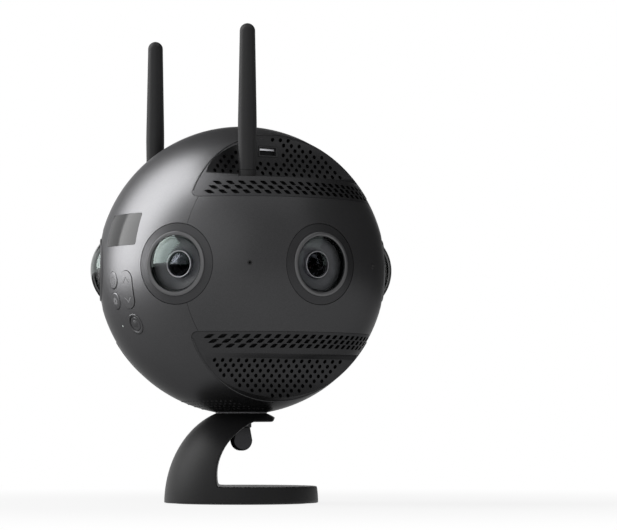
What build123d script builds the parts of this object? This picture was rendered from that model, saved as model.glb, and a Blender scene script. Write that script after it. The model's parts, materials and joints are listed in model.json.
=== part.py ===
from build123d import *
from math import asin, cos, degrees, radians, sin, sqrt
import os

# A professional 360 degree camera: a ball-shaped head with six lenses on a C-shaped table stand.
# Lengths are millimetres and angles are degrees.
# The head is drawn about the centre of its ball. Its -Y side carries the display and the buttons,
# +X is to the right of a person who looks at the display, and +Z is up.
# An angle round the ball is counted from -Y towards +X.
# The stand is drawn about the point on the ground under the ball, with its arm at -X.

# Whole object
ball_radius = 71.5
ball_height = 115.3
head_turn_angle = -56.8
shell_wall = 2.2
seam_gap = 0.15
seat_gap = 0.1
fit_gap = 0.06
overrun = 3.0

# Body panels
seam_x_share = 0.54965
panel_split_y = 0.0

# Vents, given for the upper right one
vent_edge_x_share = 0.4979
vent_edge_z_share = 0.45035
vent_top_x_share = 0.40979
vent_top_z_share = 0.88112
vent_corner_radius = 3.5
vent_wall = 1.6
shelf_z_share = 0.59021
pocket_deep_x_share = 0.44895
pocket_deep_z_share = 0.78322
pocket_curve_radius_share = 0.30769
pocket_corner_radius = 0.8

# Holes of the vent walls and bands
wall_hole = 1.9
wall_hole_pitch = 4.6
wall_row_pitch = 2.4
wall_first_row = 3.4
wall_hole_shift_share = -0.28
wall_hole_margin = 4.4
band_hole_width = 2.4
band_hole_height = 1.7
band_hole_lean = 0.5
band_hole_pitch = 4.6
band_row_pitch = 2.25
band_row_count = 3
band_first_row = 2.3
band_row_shift_share = 0.47
band_hole_margin = 5.5

# Socket in the upper right vent wall
socket_width = 10.9
socket_height = 5.1
socket_depth = 6.0
socket_wall = 0.7
socket_y_share = -0.08252
socket_z_share = 0.79021
tongue_height = 1.0
tongue_drop = 0.6

# Lenses
lens_count = 6
first_lens_angle = 30.0
bezel_radius_share = 0.28252
bezel_rim_drop = 2.85
bezel_slope_drop = 2.4
bezel_low_drop = 8.5
ring_outer_radius_share = 0.22517
ring_inner_radius_share = 0.2028
ring_drop = 1.8
ring_bevel = 0.4
bezel_lip_radius_share = 0.18741
bezel_lip_drop = 4.3
bezel_lip_wall = 1.4
glass_radius_share = 0.2
glass_edge_drop = 1.0
glass_curve_radius_share = 0.35664
glass_wall = 1.4
barrel_radius_share = 0.1958
barrel_wall = 1.6
barrel_board_gap = 0.5
cone_low_drop = 5.1
inner_lens_radius_share = 0.08671
inner_lens_drop = 4.3
inner_lens_curve_radius_share = 0.13287
inner_lens_wall = 2.0
silver_ring_radius_share = 0.1007
silver_ring_drop = 3.9
inner_tube_low_drop = 15.5
inner_tube_wall = 1.2
board_side_share = 0.37762
board_thickness = 1.6
sensor_side = 12.0
sensor_height = 1.0
module_screw_radius = 1.0
module_screw_head_radius = 1.9
module_screw_head_height = 1.2
module_screw_place_share = 0.16364
module_screw_depth = 2.0

# Display, buttons and lamp, placed by x and z on the ball's front
display_half_width_share = 0.18462
display_low_z_share = 0.13706
display_high_z_share = 0.35664
display_corner_radius = 1.4
display_cover_wall = 1.5
display_module_margin = 0.9
display_module_depth = 3.0
power_x = -5.2
power_z = -6.8
settings_x = -5.2
settings_z = -16.7
round_button_radius = 4.25
shutter_x = 6.5
shutter_z = -28.1
shutter_radius = 5.3
shutter_disc_radius = 3.5
shutter_groove = 0.35
rocker_x = 6.5
rocker_z = -11.7
rocker_length = 18.6
rocker_width = 9.4
button_rise = 0.25
button_gap = 0.15
button_travel = 0.4
button_flange = 0.35
button_flange_wall = 0.9
button_stem_radius = 1.6
fulcrum_radius = 0.9
rocker_gap = 0.25
rocker_lean_angle = 2.5
rocker_switch_place = 6.5
lamp_x = -5.6
lamp_z = -28.8
lamp_radius = 0.6
board_margin = 6.0
key_board_wall = 1.0
key_board_depth = 5.0
switch_radius = 1.9
switch_height = 0.9

# Microphones
microphone_angles = (60.0, 120.0, -60.0, -120.0)
microphone_radius = 1.2
microphone_hole_radius = 0.6
microphone_body_radius = 2.4
microphone_body_depth = 2.0

# Aerials
aerial_angle = 60.0
aerial_distance_share = 0.68392
aerial_length = 74.8
aerial_tip_radius = 3.75
aerial_middle_radius = 4.57
aerial_middle_height = 23.8
aerial_base_radius = 4.2
connector_radius = 3.1
connector_height = 8.0
connector_nut_radius = 4.2
connector_nut_height = 2.4

# Base
base_flat_drop = 1.1
base_radius_share = 0.17972
base_flange_radius_share = 0.23776
base_flange_wall = 1.6
base_flange_rise = 3.5
base_column_radius_share = 0.14685
thread_radius = 3.2
insert_wall = 2.0
insert_length = 10.0
base_screw_radius = 1.0
base_screw_head_radius = 1.9
base_screw_head_height = 1.1
base_screw_circle_share = 0.12587
base_screw_count = 4

# Core, cooling and main board
core_apothem_share = 0.58742
core_wall = 3.0
core_half_height = 22.2
core_floor = 2.0
main_board_thickness = 1.6
chip_side = 16.0
chip_height = 1.4
sink_radius_share = 0.47552
sink_base = 2.0
sink_height = 8.0
fin_thickness = 1.2
fin_pitch = 5.2
fin_edge_margin = 1.6
fan_radius_share = 0.32867
fan_wall = 1.8
fan_height = 9.0
fan_hub_radius = 8.0
fan_hub_height = 6.0
fan_blade_count = 9
fan_blade_thickness = 0.9
fan_blade_angle = 35.0
fan_shaft_radius = 1.2
fan_boss_radius = 3.4
fan_spoke_width = 2.4
fan_spoke_height = 1.6
fan_spoke_count = 4
fan_tip_gap = 0.9

# Battery and its bay, at the rear
battery_half_width_share = 0.32168
battery_bottom_z_share = -0.6993
battery_front_y_share = -0.41958
battery_gap = 0.25
battery_edge_radius = 2.0
grip_count = 5
grip_half_length = 11.0
grip_height = 0.9
grip_pitch = 2.2
grip_depth = 0.8
grip_edge_gap = 4.4
bay_wall = 1.4
release_x = 0.0
release_z = -16.8
release_radius = 3.8
release_travel = 1.0

# Rear port panel
panel_half_width = 15.0
panel_low_z = 12.0
panel_high_z = 26.5
panel_corner_radius = 2.0
panel_face_y_drop = 9.0
panel_wall = 2.0
panel_margin = 1.4
video_socket_width = 14.0
video_socket_height = 4.5
video_socket_x = -5.0
video_socket_z = 22.4
bus_socket_width = 9.0
bus_socket_height = 3.2
bus_socket_x = 8.6
bus_socket_z = 22.4
card_slot_width = 16.0
card_slot_height = 2.4
card_slot_x = -4.5
card_slot_z = 15.6
jack_radius = 2.75
jack_pin_radius = 0.9
jack_x = 9.6
jack_z = 16.0
port_depth = 7.0
port_tongue = 1.0
port_box_wall = 1.0

# Stand
stand_radius = 38.1
stand_curve_height_share = 1.06306
top_pad_height = 0.45
top_pad_gap = 0.05
foot_top_z_share = 0.19369
foot_rise = 0.3
foot_pad_radius = 33.0
foot_pad_wall = 1.5
throat_centre_x = 26.0
throat_centre_z_share = 0.31081
throat_half_length = 38.0
throat_half_height_share = 0.6982
throat_fillet_radius = 4.0
plate_under_z_share = 0.90541
plate_tip_x = 16.6
plate_tip_z_share = 0.9527
plate_tip_low_x = 15.7
well_gap = 0.7
stand_edge_radius = 1.2

# Thumbscrew
paddle_radius = 5.2
paddle_drop = 14.2
paddle_neck_half_width = 3.9
paddle_neck_drop = 2.2
paddle_thickness = 4.6
paddle_bevel = 0.7
paddle_angle = 25.0
collar_radius = 5.0
collar_gap = 0.2
shank_reach = 7.0

# Places and levels that follow the ball's size
seam_x = seam_x_share * ball_radius
vent_edge_x = vent_edge_x_share * ball_radius
vent_edge_z = vent_edge_z_share * ball_radius
vent_top_x = vent_top_x_share * ball_radius
vent_top_z = vent_top_z_share * ball_radius
shelf_z = shelf_z_share * ball_radius
pocket_deep_x = pocket_deep_x_share * ball_radius
pocket_deep_z = pocket_deep_z_share * ball_radius
pocket_curve_radius = pocket_curve_radius_share * ball_radius
pocket_centre_x = pocket_deep_x + pocket_curve_radius
socket_y = socket_y_share * ball_radius
socket_z = socket_z_share * ball_radius
bezel_radius = bezel_radius_share * ball_radius
ring_outer_radius = ring_outer_radius_share * ball_radius
ring_inner_radius = ring_inner_radius_share * ball_radius
bezel_lip_radius = bezel_lip_radius_share * ball_radius
glass_radius = glass_radius_share * ball_radius
glass_curve_radius = glass_curve_radius_share * ball_radius
barrel_radius = barrel_radius_share * ball_radius
inner_lens_radius = inner_lens_radius_share * ball_radius
inner_lens_curve_radius = inner_lens_curve_radius_share * ball_radius
silver_ring_radius = silver_ring_radius_share * ball_radius
board_side = board_side_share * ball_radius
module_screw_place = module_screw_place_share * ball_radius
display_half_width = display_half_width_share * ball_radius
display_low_z = display_low_z_share * ball_radius
display_high_z = display_high_z_share * ball_radius
aerial_distance = aerial_distance_share * ball_radius
base_radius = base_radius_share * ball_radius
base_flange_radius = base_flange_radius_share * ball_radius
base_column_radius = base_column_radius_share * ball_radius
base_screw_circle = base_screw_circle_share * ball_radius
sink_radius = sink_radius_share * ball_radius
fan_radius = fan_radius_share * ball_radius
battery_half_width = battery_half_width_share * ball_radius
battery_bottom_z = battery_bottom_z_share * ball_radius
battery_front_y = battery_front_y_share * ball_radius
bezel_rim_level = ball_radius - bezel_rim_drop
bezel_slope_level = ball_radius - bezel_slope_drop
bezel_low_level = ball_radius - bezel_low_drop
ring_level = ball_radius - ring_drop
bezel_lip_level = ball_radius - bezel_lip_drop
glass_edge_level = ball_radius - glass_edge_drop
cone_low_level = ball_radius - cone_low_drop
inner_lens_level = ball_radius - inner_lens_drop
silver_ring_level = ball_radius - silver_ring_drop
inner_tube_low_level = ball_radius - inner_tube_low_drop
core_apothem = core_apothem_share * ball_radius
barrel_low_level = core_apothem + seat_gap + board_thickness + barrel_board_gap
panel_face_y = ball_radius - panel_face_y_drop
base_flat_z = base_flat_drop - ball_radius
base_flange_z = base_flat_z + base_flange_rise
aerial_top = shelf_z + aerial_length
aerial_middle_z = shelf_z + aerial_middle_height
battery_top_z = -core_half_height - seam_gap - bay_wall - battery_gap

# Heights of the stand, which ends under the ball
stand_top_z = ball_height + base_flat_z - top_pad_height - top_pad_gap
stand_curve_height = stand_curve_height_share * stand_top_z
foot_top_z = foot_top_z_share * stand_top_z
throat_centre_z = throat_centre_z_share * stand_top_z
throat_half_height = throat_half_height_share * stand_top_z
plate_under_z = plate_under_z_share * stand_top_z
plate_tip_z = plate_tip_z_share * stand_top_z
paddle_low_z = plate_under_z - paddle_drop
paddle_neck_z = plate_under_z - paddle_neck_drop

# Worked out once for all pieces
inner_radius = ball_radius - shell_wall
vent_lean = (vent_edge_x - vent_top_x) / (vent_top_z - vent_edge_z)
reach = ball_radius + overrun
glass_centre_level = glass_edge_level - sqrt(glass_curve_radius**2 - glass_radius**2)
lens_names = ("front_right", "right", "rear_right", "rear_left", "left", "front_left")
lens_step_angle = 360 / lens_count
head_place = Pos(0, 0, ball_height) * Rot(0, 0, head_turn_angle)
aerial_x = aerial_distance * sin(radians(aerial_angle))
aerial_y = -aerial_distance * cos(radians(aerial_angle))
bottom_up = (Align.CENTER, Align.CENTER, Align.MIN)
corner_up = (Align.MIN, Align.MIN, Align.MIN)


# Helpers

def rod(radius, low, high):
    return Pos(0, 0, low) * Cylinder(radius, high - low, align=bottom_up)


def block(x_low, x_high, y_low, y_high, z_low, z_high):
    corner = Box(x_high - x_low, y_high - y_low, z_high - z_low, align=corner_up)
    return Pos(x_low, y_low, z_low) * corner


def turned(points):
    # turned about Z from an outline of (radius, height) points
    outline = make_face(Plane.XZ * Polyline(*points, close=True))
    return revolve(outline, Axis.Z)


def along_y(outline, low, high):
    # an outline in x and z, pushed along Y from low to high
    return extrude(Plane.XZ.offset(-low) * outline, amount=low - high)


def through_y(outline):
    return extrude(Plane.XZ * outline, amount=reach, both=True)


def outward(x, z):
    # turns a piece drawn along Z so that it points out of the ball's front at x and z
    side_angle = degrees(asin(x / sqrt(ball_radius**2 - z**2)))
    lift_angle = degrees(asin(z / ball_radius))
    return Rot(0, 0, side_angle) * Rot(90 - lift_angle, 0, 0)


def rounded_window(x_low, x_high, z_low, z_high, corner_radius):
    window = RectangleRounded(x_high - x_low, z_high - z_low, corner_radius)
    return Pos((x_low + x_high) / 2, (z_low + z_high) / 2) * window


def lens_place(index):
    return Rot(0, 0, first_lens_angle + index * lens_step_angle) * Rot(90, 0, 0)


# Ball shell

def vent_prism(inset):
    # all that lies inside the upper right vent's outline, seen along Y
    edge_x = vent_edge_x + inset
    edge_z = vent_edge_z + inset
    top_x = edge_x - vent_lean * (reach - edge_z)
    outline = Polygon((edge_x, edge_z), (reach, edge_z), (reach, reach), (top_x, reach), align=None)
    corner = outline.vertices().sort_by_distance((edge_x, edge_z, 0))[0]
    return through_y(fillet(corner, vent_corner_radius))


def four_ways(shape):
    right = [shape, mirror(shape, about=Plane.XY)]
    return right + [mirror(piece, about=Plane.YZ) for piece in right]


def ball_shell():
    shell = Sphere(ball_radius) - Sphere(inner_radius)
    shell -= four_ways(vent_prism(0))
    hole = rod(bezel_radius + seam_gap, core_apothem, reach)
    shell -= [lens_place(index) * hole for index in range(lens_count)]
    shell -= rod(base_radius + seam_gap, -reach, -core_apothem)
    return shell


def shell_half(shell, side):
    # side is -1 for the front half and 1 for the rear half
    split = panel_split_y + side * seam_gap / 2
    far = side * reach
    half_width = seam_x - seam_gap / 2
    keep = block(-half_width, half_width, min(split, far), max(split, far), -reach, reach)
    return shell & keep


def front_shell(shell):
    piece = shell_half(shell, -1)
    window = rounded_window(-display_half_width, display_half_width, display_low_z, display_high_z,
                            display_corner_radius)
    piece -= along_y(window, -reach, 0)
    for x, z, radius in round_buttons():
        piece -= outward(x, z) * rod(radius + button_gap, core_apothem, reach)
    piece -= outward(rocker_x, rocker_z) * rocker_prism(rocker_gap, core_apothem, reach)
    piece -= outward(lamp_x, lamp_z) * rod(lamp_radius, core_apothem, reach)
    return piece


def rear_shell(shell):
    piece = shell_half(shell, 1)
    piece -= along_y(battery_outline(battery_gap), 0, reach)
    piece -= Rot(0, 0, 180) * outward(release_x, release_z) * rod(release_radius + button_gap,
                                                                   core_apothem, reach)
    window = rounded_window(-panel_half_width, panel_half_width, panel_low_z, panel_high_z,
                            panel_corner_radius)
    piece -= along_y(window, 0, reach)
    return piece


def side_panel(shell):
    panel = shell & block(seam_x + seam_gap / 2, reach, -reach, reach, -vent_edge_z, vent_edge_z)
    for angle in microphone_angles[:2]:
        panel -= microphone_place(angle) * rod(microphone_radius, core_apothem, reach)
    return panel


# Vents

def pocket_x(z, grow=0.0):
    # the hollowed wall is an arc in x and z
    rise = z - pocket_deep_z
    return pocket_centre_x - sqrt((pocket_curve_radius + grow)**2 - rise**2)


def pocket_prism(grow):
    # the pocket above the shelf and outside the perforated wall of the upper right vent
    low_z = shelf_z - grow
    high_z = 2 * pocket_deep_z - low_z
    low_x = pocket_x(low_z, grow)
    wall = ThreePointArc((low_x, low_z), (pocket_deep_x - grow, pocket_deep_z), (low_x, high_z))
    rest = Polyline((low_x, high_z), (low_x, reach), (reach, reach), (reach, low_z), (low_x, low_z))
    outline = make_face(wall + rest)
    corner = outline.vertices().sort_by_distance((low_x, low_z, 0))[0]
    return through_y(fillet(corner, pocket_corner_radius))


def row_places(half, pitch, shift):
    count = int(half // pitch) + 1
    places = [shift + step * pitch for step in range(-count, count + 1)]
    return [place for place in places if abs(place) < half]


def in_socket(y, z):
    near_y = abs(y - socket_y) < socket_width / 2 + wall_hole
    return near_y and abs(z - socket_z) < socket_height / 2 + wall_hole


def half_chord(x, z):
    # how far the ball reaches along Y at x and z
    return sqrt(max(ball_radius**2 - x**2 - z**2, 0))


def wall_holes(with_socket):
    # the rows end where the wall gets too short for a hole
    holes = []
    row_count = int((ball_radius - shelf_z - wall_first_row) // wall_row_pitch) + 1
    for row in range(row_count):
        z = shelf_z + wall_first_row + row * wall_row_pitch
        x = pocket_x(z)
        half = half_chord(x, z) - wall_hole_margin
        shift = wall_hole_pitch * (wall_hole_shift_share + row % 2 / 2)
        for y in row_places(half, wall_hole_pitch, shift):
            if with_socket and in_socket(y, z):
                continue
            holes.append(Pos(x, y, z) * Box(2 * vent_wall + overrun, wall_hole, wall_hole))
    return holes


def slanted_hole():
    # leans against the rows' stagger, and points outwards along X
    half_width = band_hole_width / 2
    half_height = band_hole_height / 2
    lean = band_hole_lean
    outline = Polygon((-half_width + lean, -half_height), (half_width + lean, -half_height),
                      (half_width - lean, half_height), (-half_width - lean, half_height), align=None)
    return extrude(Plane.YZ * outline, amount=ball_radius)


def band_holes():
    hole = slanted_hole()
    holes = []
    for row in range(band_row_count):
        z = vent_edge_z + band_first_row + row * band_row_pitch
        edge_x = vent_edge_x - vent_lean * (z - vent_edge_z)
        half = half_chord(edge_x, z) - band_hole_margin
        shift = row * band_hole_pitch * band_row_shift_share
        for y in row_places(half, band_hole_pitch, shift):
            holes.append(Pos(ball_radius / 2, y, z) * hole)
    return holes


def vent(with_aerial, with_socket):
    body = (Sphere(ball_radius) & vent_prism(seam_gap)) - pocket_prism(0)
    body -= Sphere(ball_radius - vent_wall) - pocket_prism(vent_wall)
    body -= wall_holes(with_socket) + band_holes()
    if with_aerial:
        body -= Pos(aerial_x, aerial_y, 0) * rod(connector_radius + fit_gap, vent_edge_z, shelf_z + overrun)
    if with_socket:
        body -= socket_block(seat_gap)
    return body


def socket_block(grow):
    half_width = socket_width / 2 + grow
    half_height = socket_height / 2 + grow
    face = pocket_x(socket_z + half_height)
    return block(face - socket_depth - grow, face + (overrun if grow else 0),
                 socket_y - half_width, socket_y + half_width,
                 socket_z - half_height, socket_z + half_height)


def wall_socket():
    # a shallow socket with a light contact bar near its top
    face = pocket_x(socket_z + socket_height / 2)
    body = socket_block(0)
    half_width = socket_width / 2 - socket_wall
    cavity = block(face - socket_depth + socket_wall, face + overrun,
                   socket_y - half_width, socket_y + half_width,
                   socket_z - socket_height / 2 + socket_wall, socket_z + socket_height / 2 - socket_wall)
    bar_top = socket_z + socket_height / 2 - socket_wall - tongue_drop
    bar = block(face - socket_depth + socket_wall, face - socket_wall,
                socket_y - half_width, socket_y + half_width, bar_top - tongue_height, bar_top)
    return body - cavity + bar


# Lenses, each drawn along Z with levels counted from the ball's centre

def lens_bezel():
    inner = glass_radius + seat_gap
    return turned((
        (bezel_radius, bezel_rim_level),
        (ring_outer_radius, bezel_slope_level),
        (ring_outer_radius - ring_bevel / 2, ring_level - ring_bevel),
        (ring_outer_radius - ring_bevel, ring_level),
        (ring_inner_radius + ring_bevel, ring_level),
        (inner, ring_level - ring_bevel),
        (inner, bezel_lip_level),
        (bezel_lip_radius, bezel_lip_level),
        (bezel_lip_radius, bezel_lip_level - bezel_lip_wall),
        (barrel_radius + seat_gap, bezel_lip_level - bezel_lip_wall),
        (barrel_radius + seat_gap, bezel_low_level),
        (bezel_radius, bezel_low_level)))


def lens_glass():
    centre = Pos(0, 0, glass_centre_level)
    dome = centre * Sphere(glass_curve_radius) - centre * Sphere(glass_curve_radius - glass_wall)
    cap = dome & rod(glass_radius, glass_edge_level - glass_wall, reach + glass_curve_radius)
    skirt = rod(glass_radius, bezel_lip_level + seat_gap, glass_edge_level)
    skirt -= rod(glass_radius - glass_wall / 2, bezel_lip_level, glass_edge_level)
    return cap + skirt


def lens_barrel():
    # a tube with the black funnel that shows behind the front glass
    tube_top = bezel_lip_level - bezel_lip_wall - seat_gap
    funnel_low = tube_top - barrel_wall
    hole = silver_ring_radius + seat_gap
    return turned((
        (barrel_radius, barrel_low_level),
        (barrel_radius, tube_top),
        (bezel_lip_radius - seat_gap, tube_top),
        (bezel_lip_radius - seat_gap, bezel_lip_level),
        (hole, cone_low_level),
        (hole, funnel_low),
        (barrel_radius - barrel_wall, funnel_low),
        (barrel_radius - barrel_wall, barrel_low_level)))


def inner_lens():
    centre_level = inner_lens_level - sqrt(inner_lens_curve_radius**2 - inner_lens_radius**2)
    dome = Pos(0, 0, centre_level) * Sphere(inner_lens_curve_radius)
    return dome & rod(inner_lens_radius - fit_gap, inner_lens_level - inner_lens_wall, reach)


def inner_lens_mount():
    # the silver ring with the tube of the inner lens group below it
    return turned((
        (inner_lens_radius, silver_ring_level),
        (silver_ring_radius, silver_ring_level - ring_bevel),
        (silver_ring_radius, inner_tube_low_level),
        (inner_lens_radius - inner_tube_wall, inner_tube_low_level),
        (inner_lens_radius - inner_tube_wall, inner_lens_level - inner_lens_wall),
        (inner_lens_radius, inner_lens_level - inner_lens_wall)))


def sensor_board():
    low = core_apothem + seat_gap
    high = low + board_thickness
    half = board_side / 2
    board = block(-half, half, -half, half, low, high)
    half = sensor_side / 2
    board += block(-half, half, -half, half, high, high + sensor_height)
    for side in (-1, 1):
        board -= Pos(side * module_screw_place, side * module_screw_place, 0) * rod(
            module_screw_radius + fit_gap, low - overrun, high + overrun)
    return board


def module_screws():
    # two screws that hold one sensor board on the core frame
    seat = core_apothem + seat_gap + board_thickness
    screw = rod(module_screw_radius, core_apothem - module_screw_depth, seat)
    screw += Pos(0, 0, seat) * extrude(RegularPolygon(module_screw_head_radius, 6),
                                       amount=module_screw_head_height)
    place = module_screw_place
    return [Pos(side * place, side * place, 0) * screw for side in (-1, 1)]


# Display and buttons

def round_buttons():
    return ((power_x, power_z, round_button_radius), (settings_x, settings_z, round_button_radius),
            (shutter_x, shutter_z, shutter_radius))


def display_window():
    outline = rounded_window(-display_half_width + seat_gap, display_half_width - seat_gap,
                             display_low_z + seat_gap, display_high_z - seat_gap, display_corner_radius)
    cover = Sphere(ball_radius) - Sphere(ball_radius - display_cover_wall)
    return cover & along_y(outline, -reach, 0)


def display_module():
    corner = sqrt((ball_radius - display_cover_wall)**2 - display_half_width**2 - display_high_z**2)
    half_width = display_half_width - display_module_margin
    return block(-half_width, half_width, -corner + seat_gap, -corner + display_module_depth,
                 display_low_z + display_module_margin, display_high_z - display_module_margin)


def flange_level(radius):
    # how high a flat flange of this radius can stand under the curved shell
    return sqrt(inner_radius**2 - (radius + button_flange)**2) - button_gap


def key_board_level():
    return inner_radius - key_board_depth


def stem_level(travel):
    return key_board_level() + key_board_wall + switch_height + travel + seat_gap


def round_button(radius, travel):
    # a cap with a domed top, the flange that holds it in the shell, and its stem
    top = flange_level(radius)
    button = rod(radius, top - button_flange_wall, reach) & Sphere(ball_radius + button_rise)
    button += rod(radius + button_flange, top - button_flange_wall, top)
    button += rod(button_stem_radius, stem_level(travel), top)
    return button


def shutter_button():
    button = round_button(shutter_radius, button_travel)
    groove = rod(shutter_disc_radius + shutter_groove, ball_radius - shutter_groove, reach)
    return button - (groove - rod(shutter_disc_radius, inner_radius, reach))


def rocker_prism(grow, low, high):
    outline = SlotOverall(rocker_length + 2 * grow, rocker_width + 2 * grow, rotation=90)
    return Pos(0, 0, low) * extrude(outline, amount=high - low)


def rocker_top_level():
    return flange_level(rocker_length / 2)


def rocker_low_level():
    return rocker_top_level() - button_flange_wall


def fulcrum_level():
    return rocker_low_level() - fulcrum_radius


def rocker_button():
    top = rocker_top_level()
    low = rocker_low_level()
    button = rocker_prism(0, low, reach) & Sphere(ball_radius + button_rise)
    half_width = rocker_width / 2 + rocker_gap + button_flange
    half_length = (rocker_length - rocker_width) / 2
    button += block(-half_width, half_width, -half_length, half_length, low, top)
    saddle = fulcrum_level()
    button += block(-button_stem_radius, button_stem_radius, -2 * fulcrum_radius, 2 * fulcrum_radius,
                    saddle, top)
    groove = Pos(0, 0, saddle) * Rot(0, 90, 0) * Cylinder(fulcrum_radius + fit_gap, rocker_width)
    return button - groove


def key_board():
    # a curved board behind the buttons, with a switch under each and the rocker's fulcrum
    level = key_board_level()
    top = level + key_board_wall
    outline = rounded_window(settings_x - board_margin, rocker_x + board_margin,
                             shutter_z - board_margin, power_z + board_margin, display_corner_radius)
    board = (Sphere(top) - Sphere(level)) & along_y(outline, -reach, 0)
    for x, z, _ in round_buttons():
        board += outward(x, z) * rod(switch_radius, level + key_board_wall / 2, top + switch_height)
    pin = Rot(0, 90, 0) * Cylinder(fulcrum_radius, 2 * button_stem_radius)
    ridge = block(-button_stem_radius, button_stem_radius, -fulcrum_radius / 2, fulcrum_radius / 2,
                  level + key_board_wall / 2, fulcrum_level())
    board += outward(rocker_x, rocker_z) * (Pos(0, 0, fulcrum_level()) * pin + ridge)
    dip = rocker_switch_place * sin(radians(rocker_lean_angle))
    rocker_switch = rod(switch_radius, level, rocker_low_level() - dip - seat_gap)
    for side in (-1, 1):
        board += outward(rocker_x, rocker_z) * Pos(0, side * rocker_switch_place, 0) * rocker_switch
    return board


def status_lamp():
    light = rod(lamp_radius, key_board_level() + key_board_wall + seat_gap, reach)
    return outward(lamp_x, lamp_z) * (light & Sphere(ball_radius))


# Microphones and aerials

def microphone_place(angle):
    return Rot(0, 0, angle) * Rot(90, 0, 0)


def microphone():
    seat = inner_radius - seat_gap
    body = rod(microphone_radius, seat - microphone_body_depth, reach) & Sphere(ball_radius)
    body += rod(microphone_body_radius, seat - microphone_body_depth, seat) & Sphere(seat)
    return body - rod(microphone_hole_radius, inner_radius, reach)


def aerial():
    foot = shelf_z + seat_gap
    bore = connector_radius + fit_gap
    bore_top = shelf_z + connector_height + 2 * seat_gap
    tip_z = aerial_top - aerial_tip_radius
    mast = turned((
        (bore, foot),
        (aerial_base_radius, foot),
        (aerial_middle_radius, aerial_middle_z),
        (aerial_tip_radius, tip_z),
        (0, tip_z),
        (0, bore_top),
        (bore, bore_top)))
    return mast + Pos(0, 0, tip_z) * Sphere(aerial_tip_radius)


def aerial_connector():
    under = shelf_z - vent_wall - seat_gap
    stud = rod(connector_radius, under, shelf_z + connector_height)
    nut = Pos(0, 0, under - connector_nut_height) * extrude(
        RegularPolygon(connector_nut_radius, 6), amount=connector_nut_height)
    return stud + nut


# Base of the ball

def base_plate():
    plate = rod(base_radius, base_flat_z, base_flange_z)
    plate += rod(base_flange_radius, base_flange_z, base_flange_z + base_flange_wall)
    plate += rod(base_column_radius, base_flange_z, bay_bottom_z() - seat_gap)
    plate -= rod(thread_radius + insert_wall, -reach, base_flat_z + insert_length + seat_gap)
    return plate - [place * base_screw(fit_gap) for place in base_screw_places()]


def base_screw_places():
    step = 360 / base_screw_count
    return [Rot(0, 0, step * (index + 1 / 2)) * Pos(base_screw_circle, 0, 0)
            for index in range(base_screw_count)]


def base_screw(grow):
    # a screw from the flat base up into the floor of the battery bay
    low = base_flat_z + seat_gap
    head = rod(base_screw_head_radius + grow, low - (overrun if grow else 0), low + base_screw_head_height)
    return head + rod(base_screw_radius + grow, low, bay_bottom_z() + bay_wall - seat_gap + grow)


def tripod_insert():
    low = base_flat_z + seat_gap
    sleeve = rod(thread_radius + insert_wall, low, base_flat_z + insert_length)
    return sleeve - rod(thread_radius, -reach, reach)


# Core, main board and cooling

def hexagon(apothem):
    return RegularPolygon(apothem, lens_count, major_radius=False, rotation=lens_step_angle / 2)


def core_frame():
    # a hexagonal tube with a closed top that the six lens modules and the cooling sit on
    tube = Pos(0, 0, -core_half_height) * extrude(hexagon(core_apothem), amount=2 * core_half_height)
    tube -= Pos(0, 0, -core_half_height - core_floor) * extrude(
        hexagon(core_apothem - core_wall), amount=2 * core_half_height)
    hole = rod(module_screw_radius + fit_gap, core_apothem - core_wall - overrun, reach)
    for index in range(lens_count):
        for side in (-1, 1):
            place = side * module_screw_place
            tube -= lens_place(index) * Pos(place, place, 0) * hole
    return tube


def main_board():
    apothem = core_apothem - core_wall - seat_gap
    board = extrude(hexagon(apothem), amount=main_board_thickness)
    half = chip_side / 2
    for x in (-chip_side, chip_side):
        board += block(x - half, x + half, -half, half, main_board_thickness,
                       main_board_thickness + chip_height)
    return board


def heat_sink():
    low = core_half_height + seat_gap
    fins = rod(sink_radius, low, low + sink_base)
    count = int(sink_radius // fin_pitch)
    for step in range(-count, count + 1):
        y = step * fin_pitch
        half = sqrt((sink_radius - fin_edge_margin)**2 - y**2)
        fins += block(-half, half, y - fin_thickness / 2, y + fin_thickness / 2, low, low + sink_height)
    return fins


def fan_floor_z():
    return core_half_height + sink_height + 2 * seat_gap


def fan_housing():
    low = fan_floor_z()
    ring = rod(fan_radius, low, low + fan_height) - rod(fan_radius - fan_wall, low - overrun, reach)
    ring += rod(fan_boss_radius, low, low + fan_spoke_height)
    for step in range(fan_spoke_count):
        spoke = block(fan_boss_radius / 2, fan_radius - fan_wall / 2, -fan_spoke_width / 2,
                      fan_spoke_width / 2, low, low + fan_spoke_height)
        ring += Rot(0, 0, step * 360 / fan_spoke_count) * spoke
    return ring - rod(fan_shaft_radius + fit_gap, low - overrun, reach)


def fan_rotor():
    low = fan_floor_z() + fan_spoke_height + 2 * seat_gap
    rotor = rod(fan_hub_radius, low, low + fan_hub_height)
    rotor += rod(fan_shaft_radius, fan_floor_z() + seat_gap, low)
    tip = fan_radius - fan_wall - fan_tip_gap
    middle = low + fan_hub_height / 2
    height = fan_hub_height * cos(radians(fan_blade_angle))
    blade = Box(tip - fan_hub_radius / 2, fan_blade_thickness, height)
    blade = Pos((tip + fan_hub_radius / 2) / 2, 0, middle) * Rot(fan_blade_angle, 0, 0) * blade
    for step in range(fan_blade_count):
        rotor += Rot(0, 0, step * 360 / fan_blade_count) * blade
    return rotor & rod(tip, 0, reach)


# Battery

def battery_outline(grow):
    return rounded_window(-battery_half_width - grow, battery_half_width + grow,
                          battery_bottom_z - grow, battery_top_z + grow, battery_edge_radius)


def battery_grips():
    # grooves for a fingertip across the lower edge of the battery's outer face
    grips = []
    for step in range(grip_count):
        low_z = battery_bottom_z + grip_edge_gap + step * grip_pitch
        depth = ball_radius - grip_depth
        floor_y = sqrt(depth**2 - low_z**2 - grip_half_length**2)
        grips.append(block(-grip_half_length, grip_half_length, floor_y, reach, low_z, low_z + grip_height))
    return grips


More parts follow.
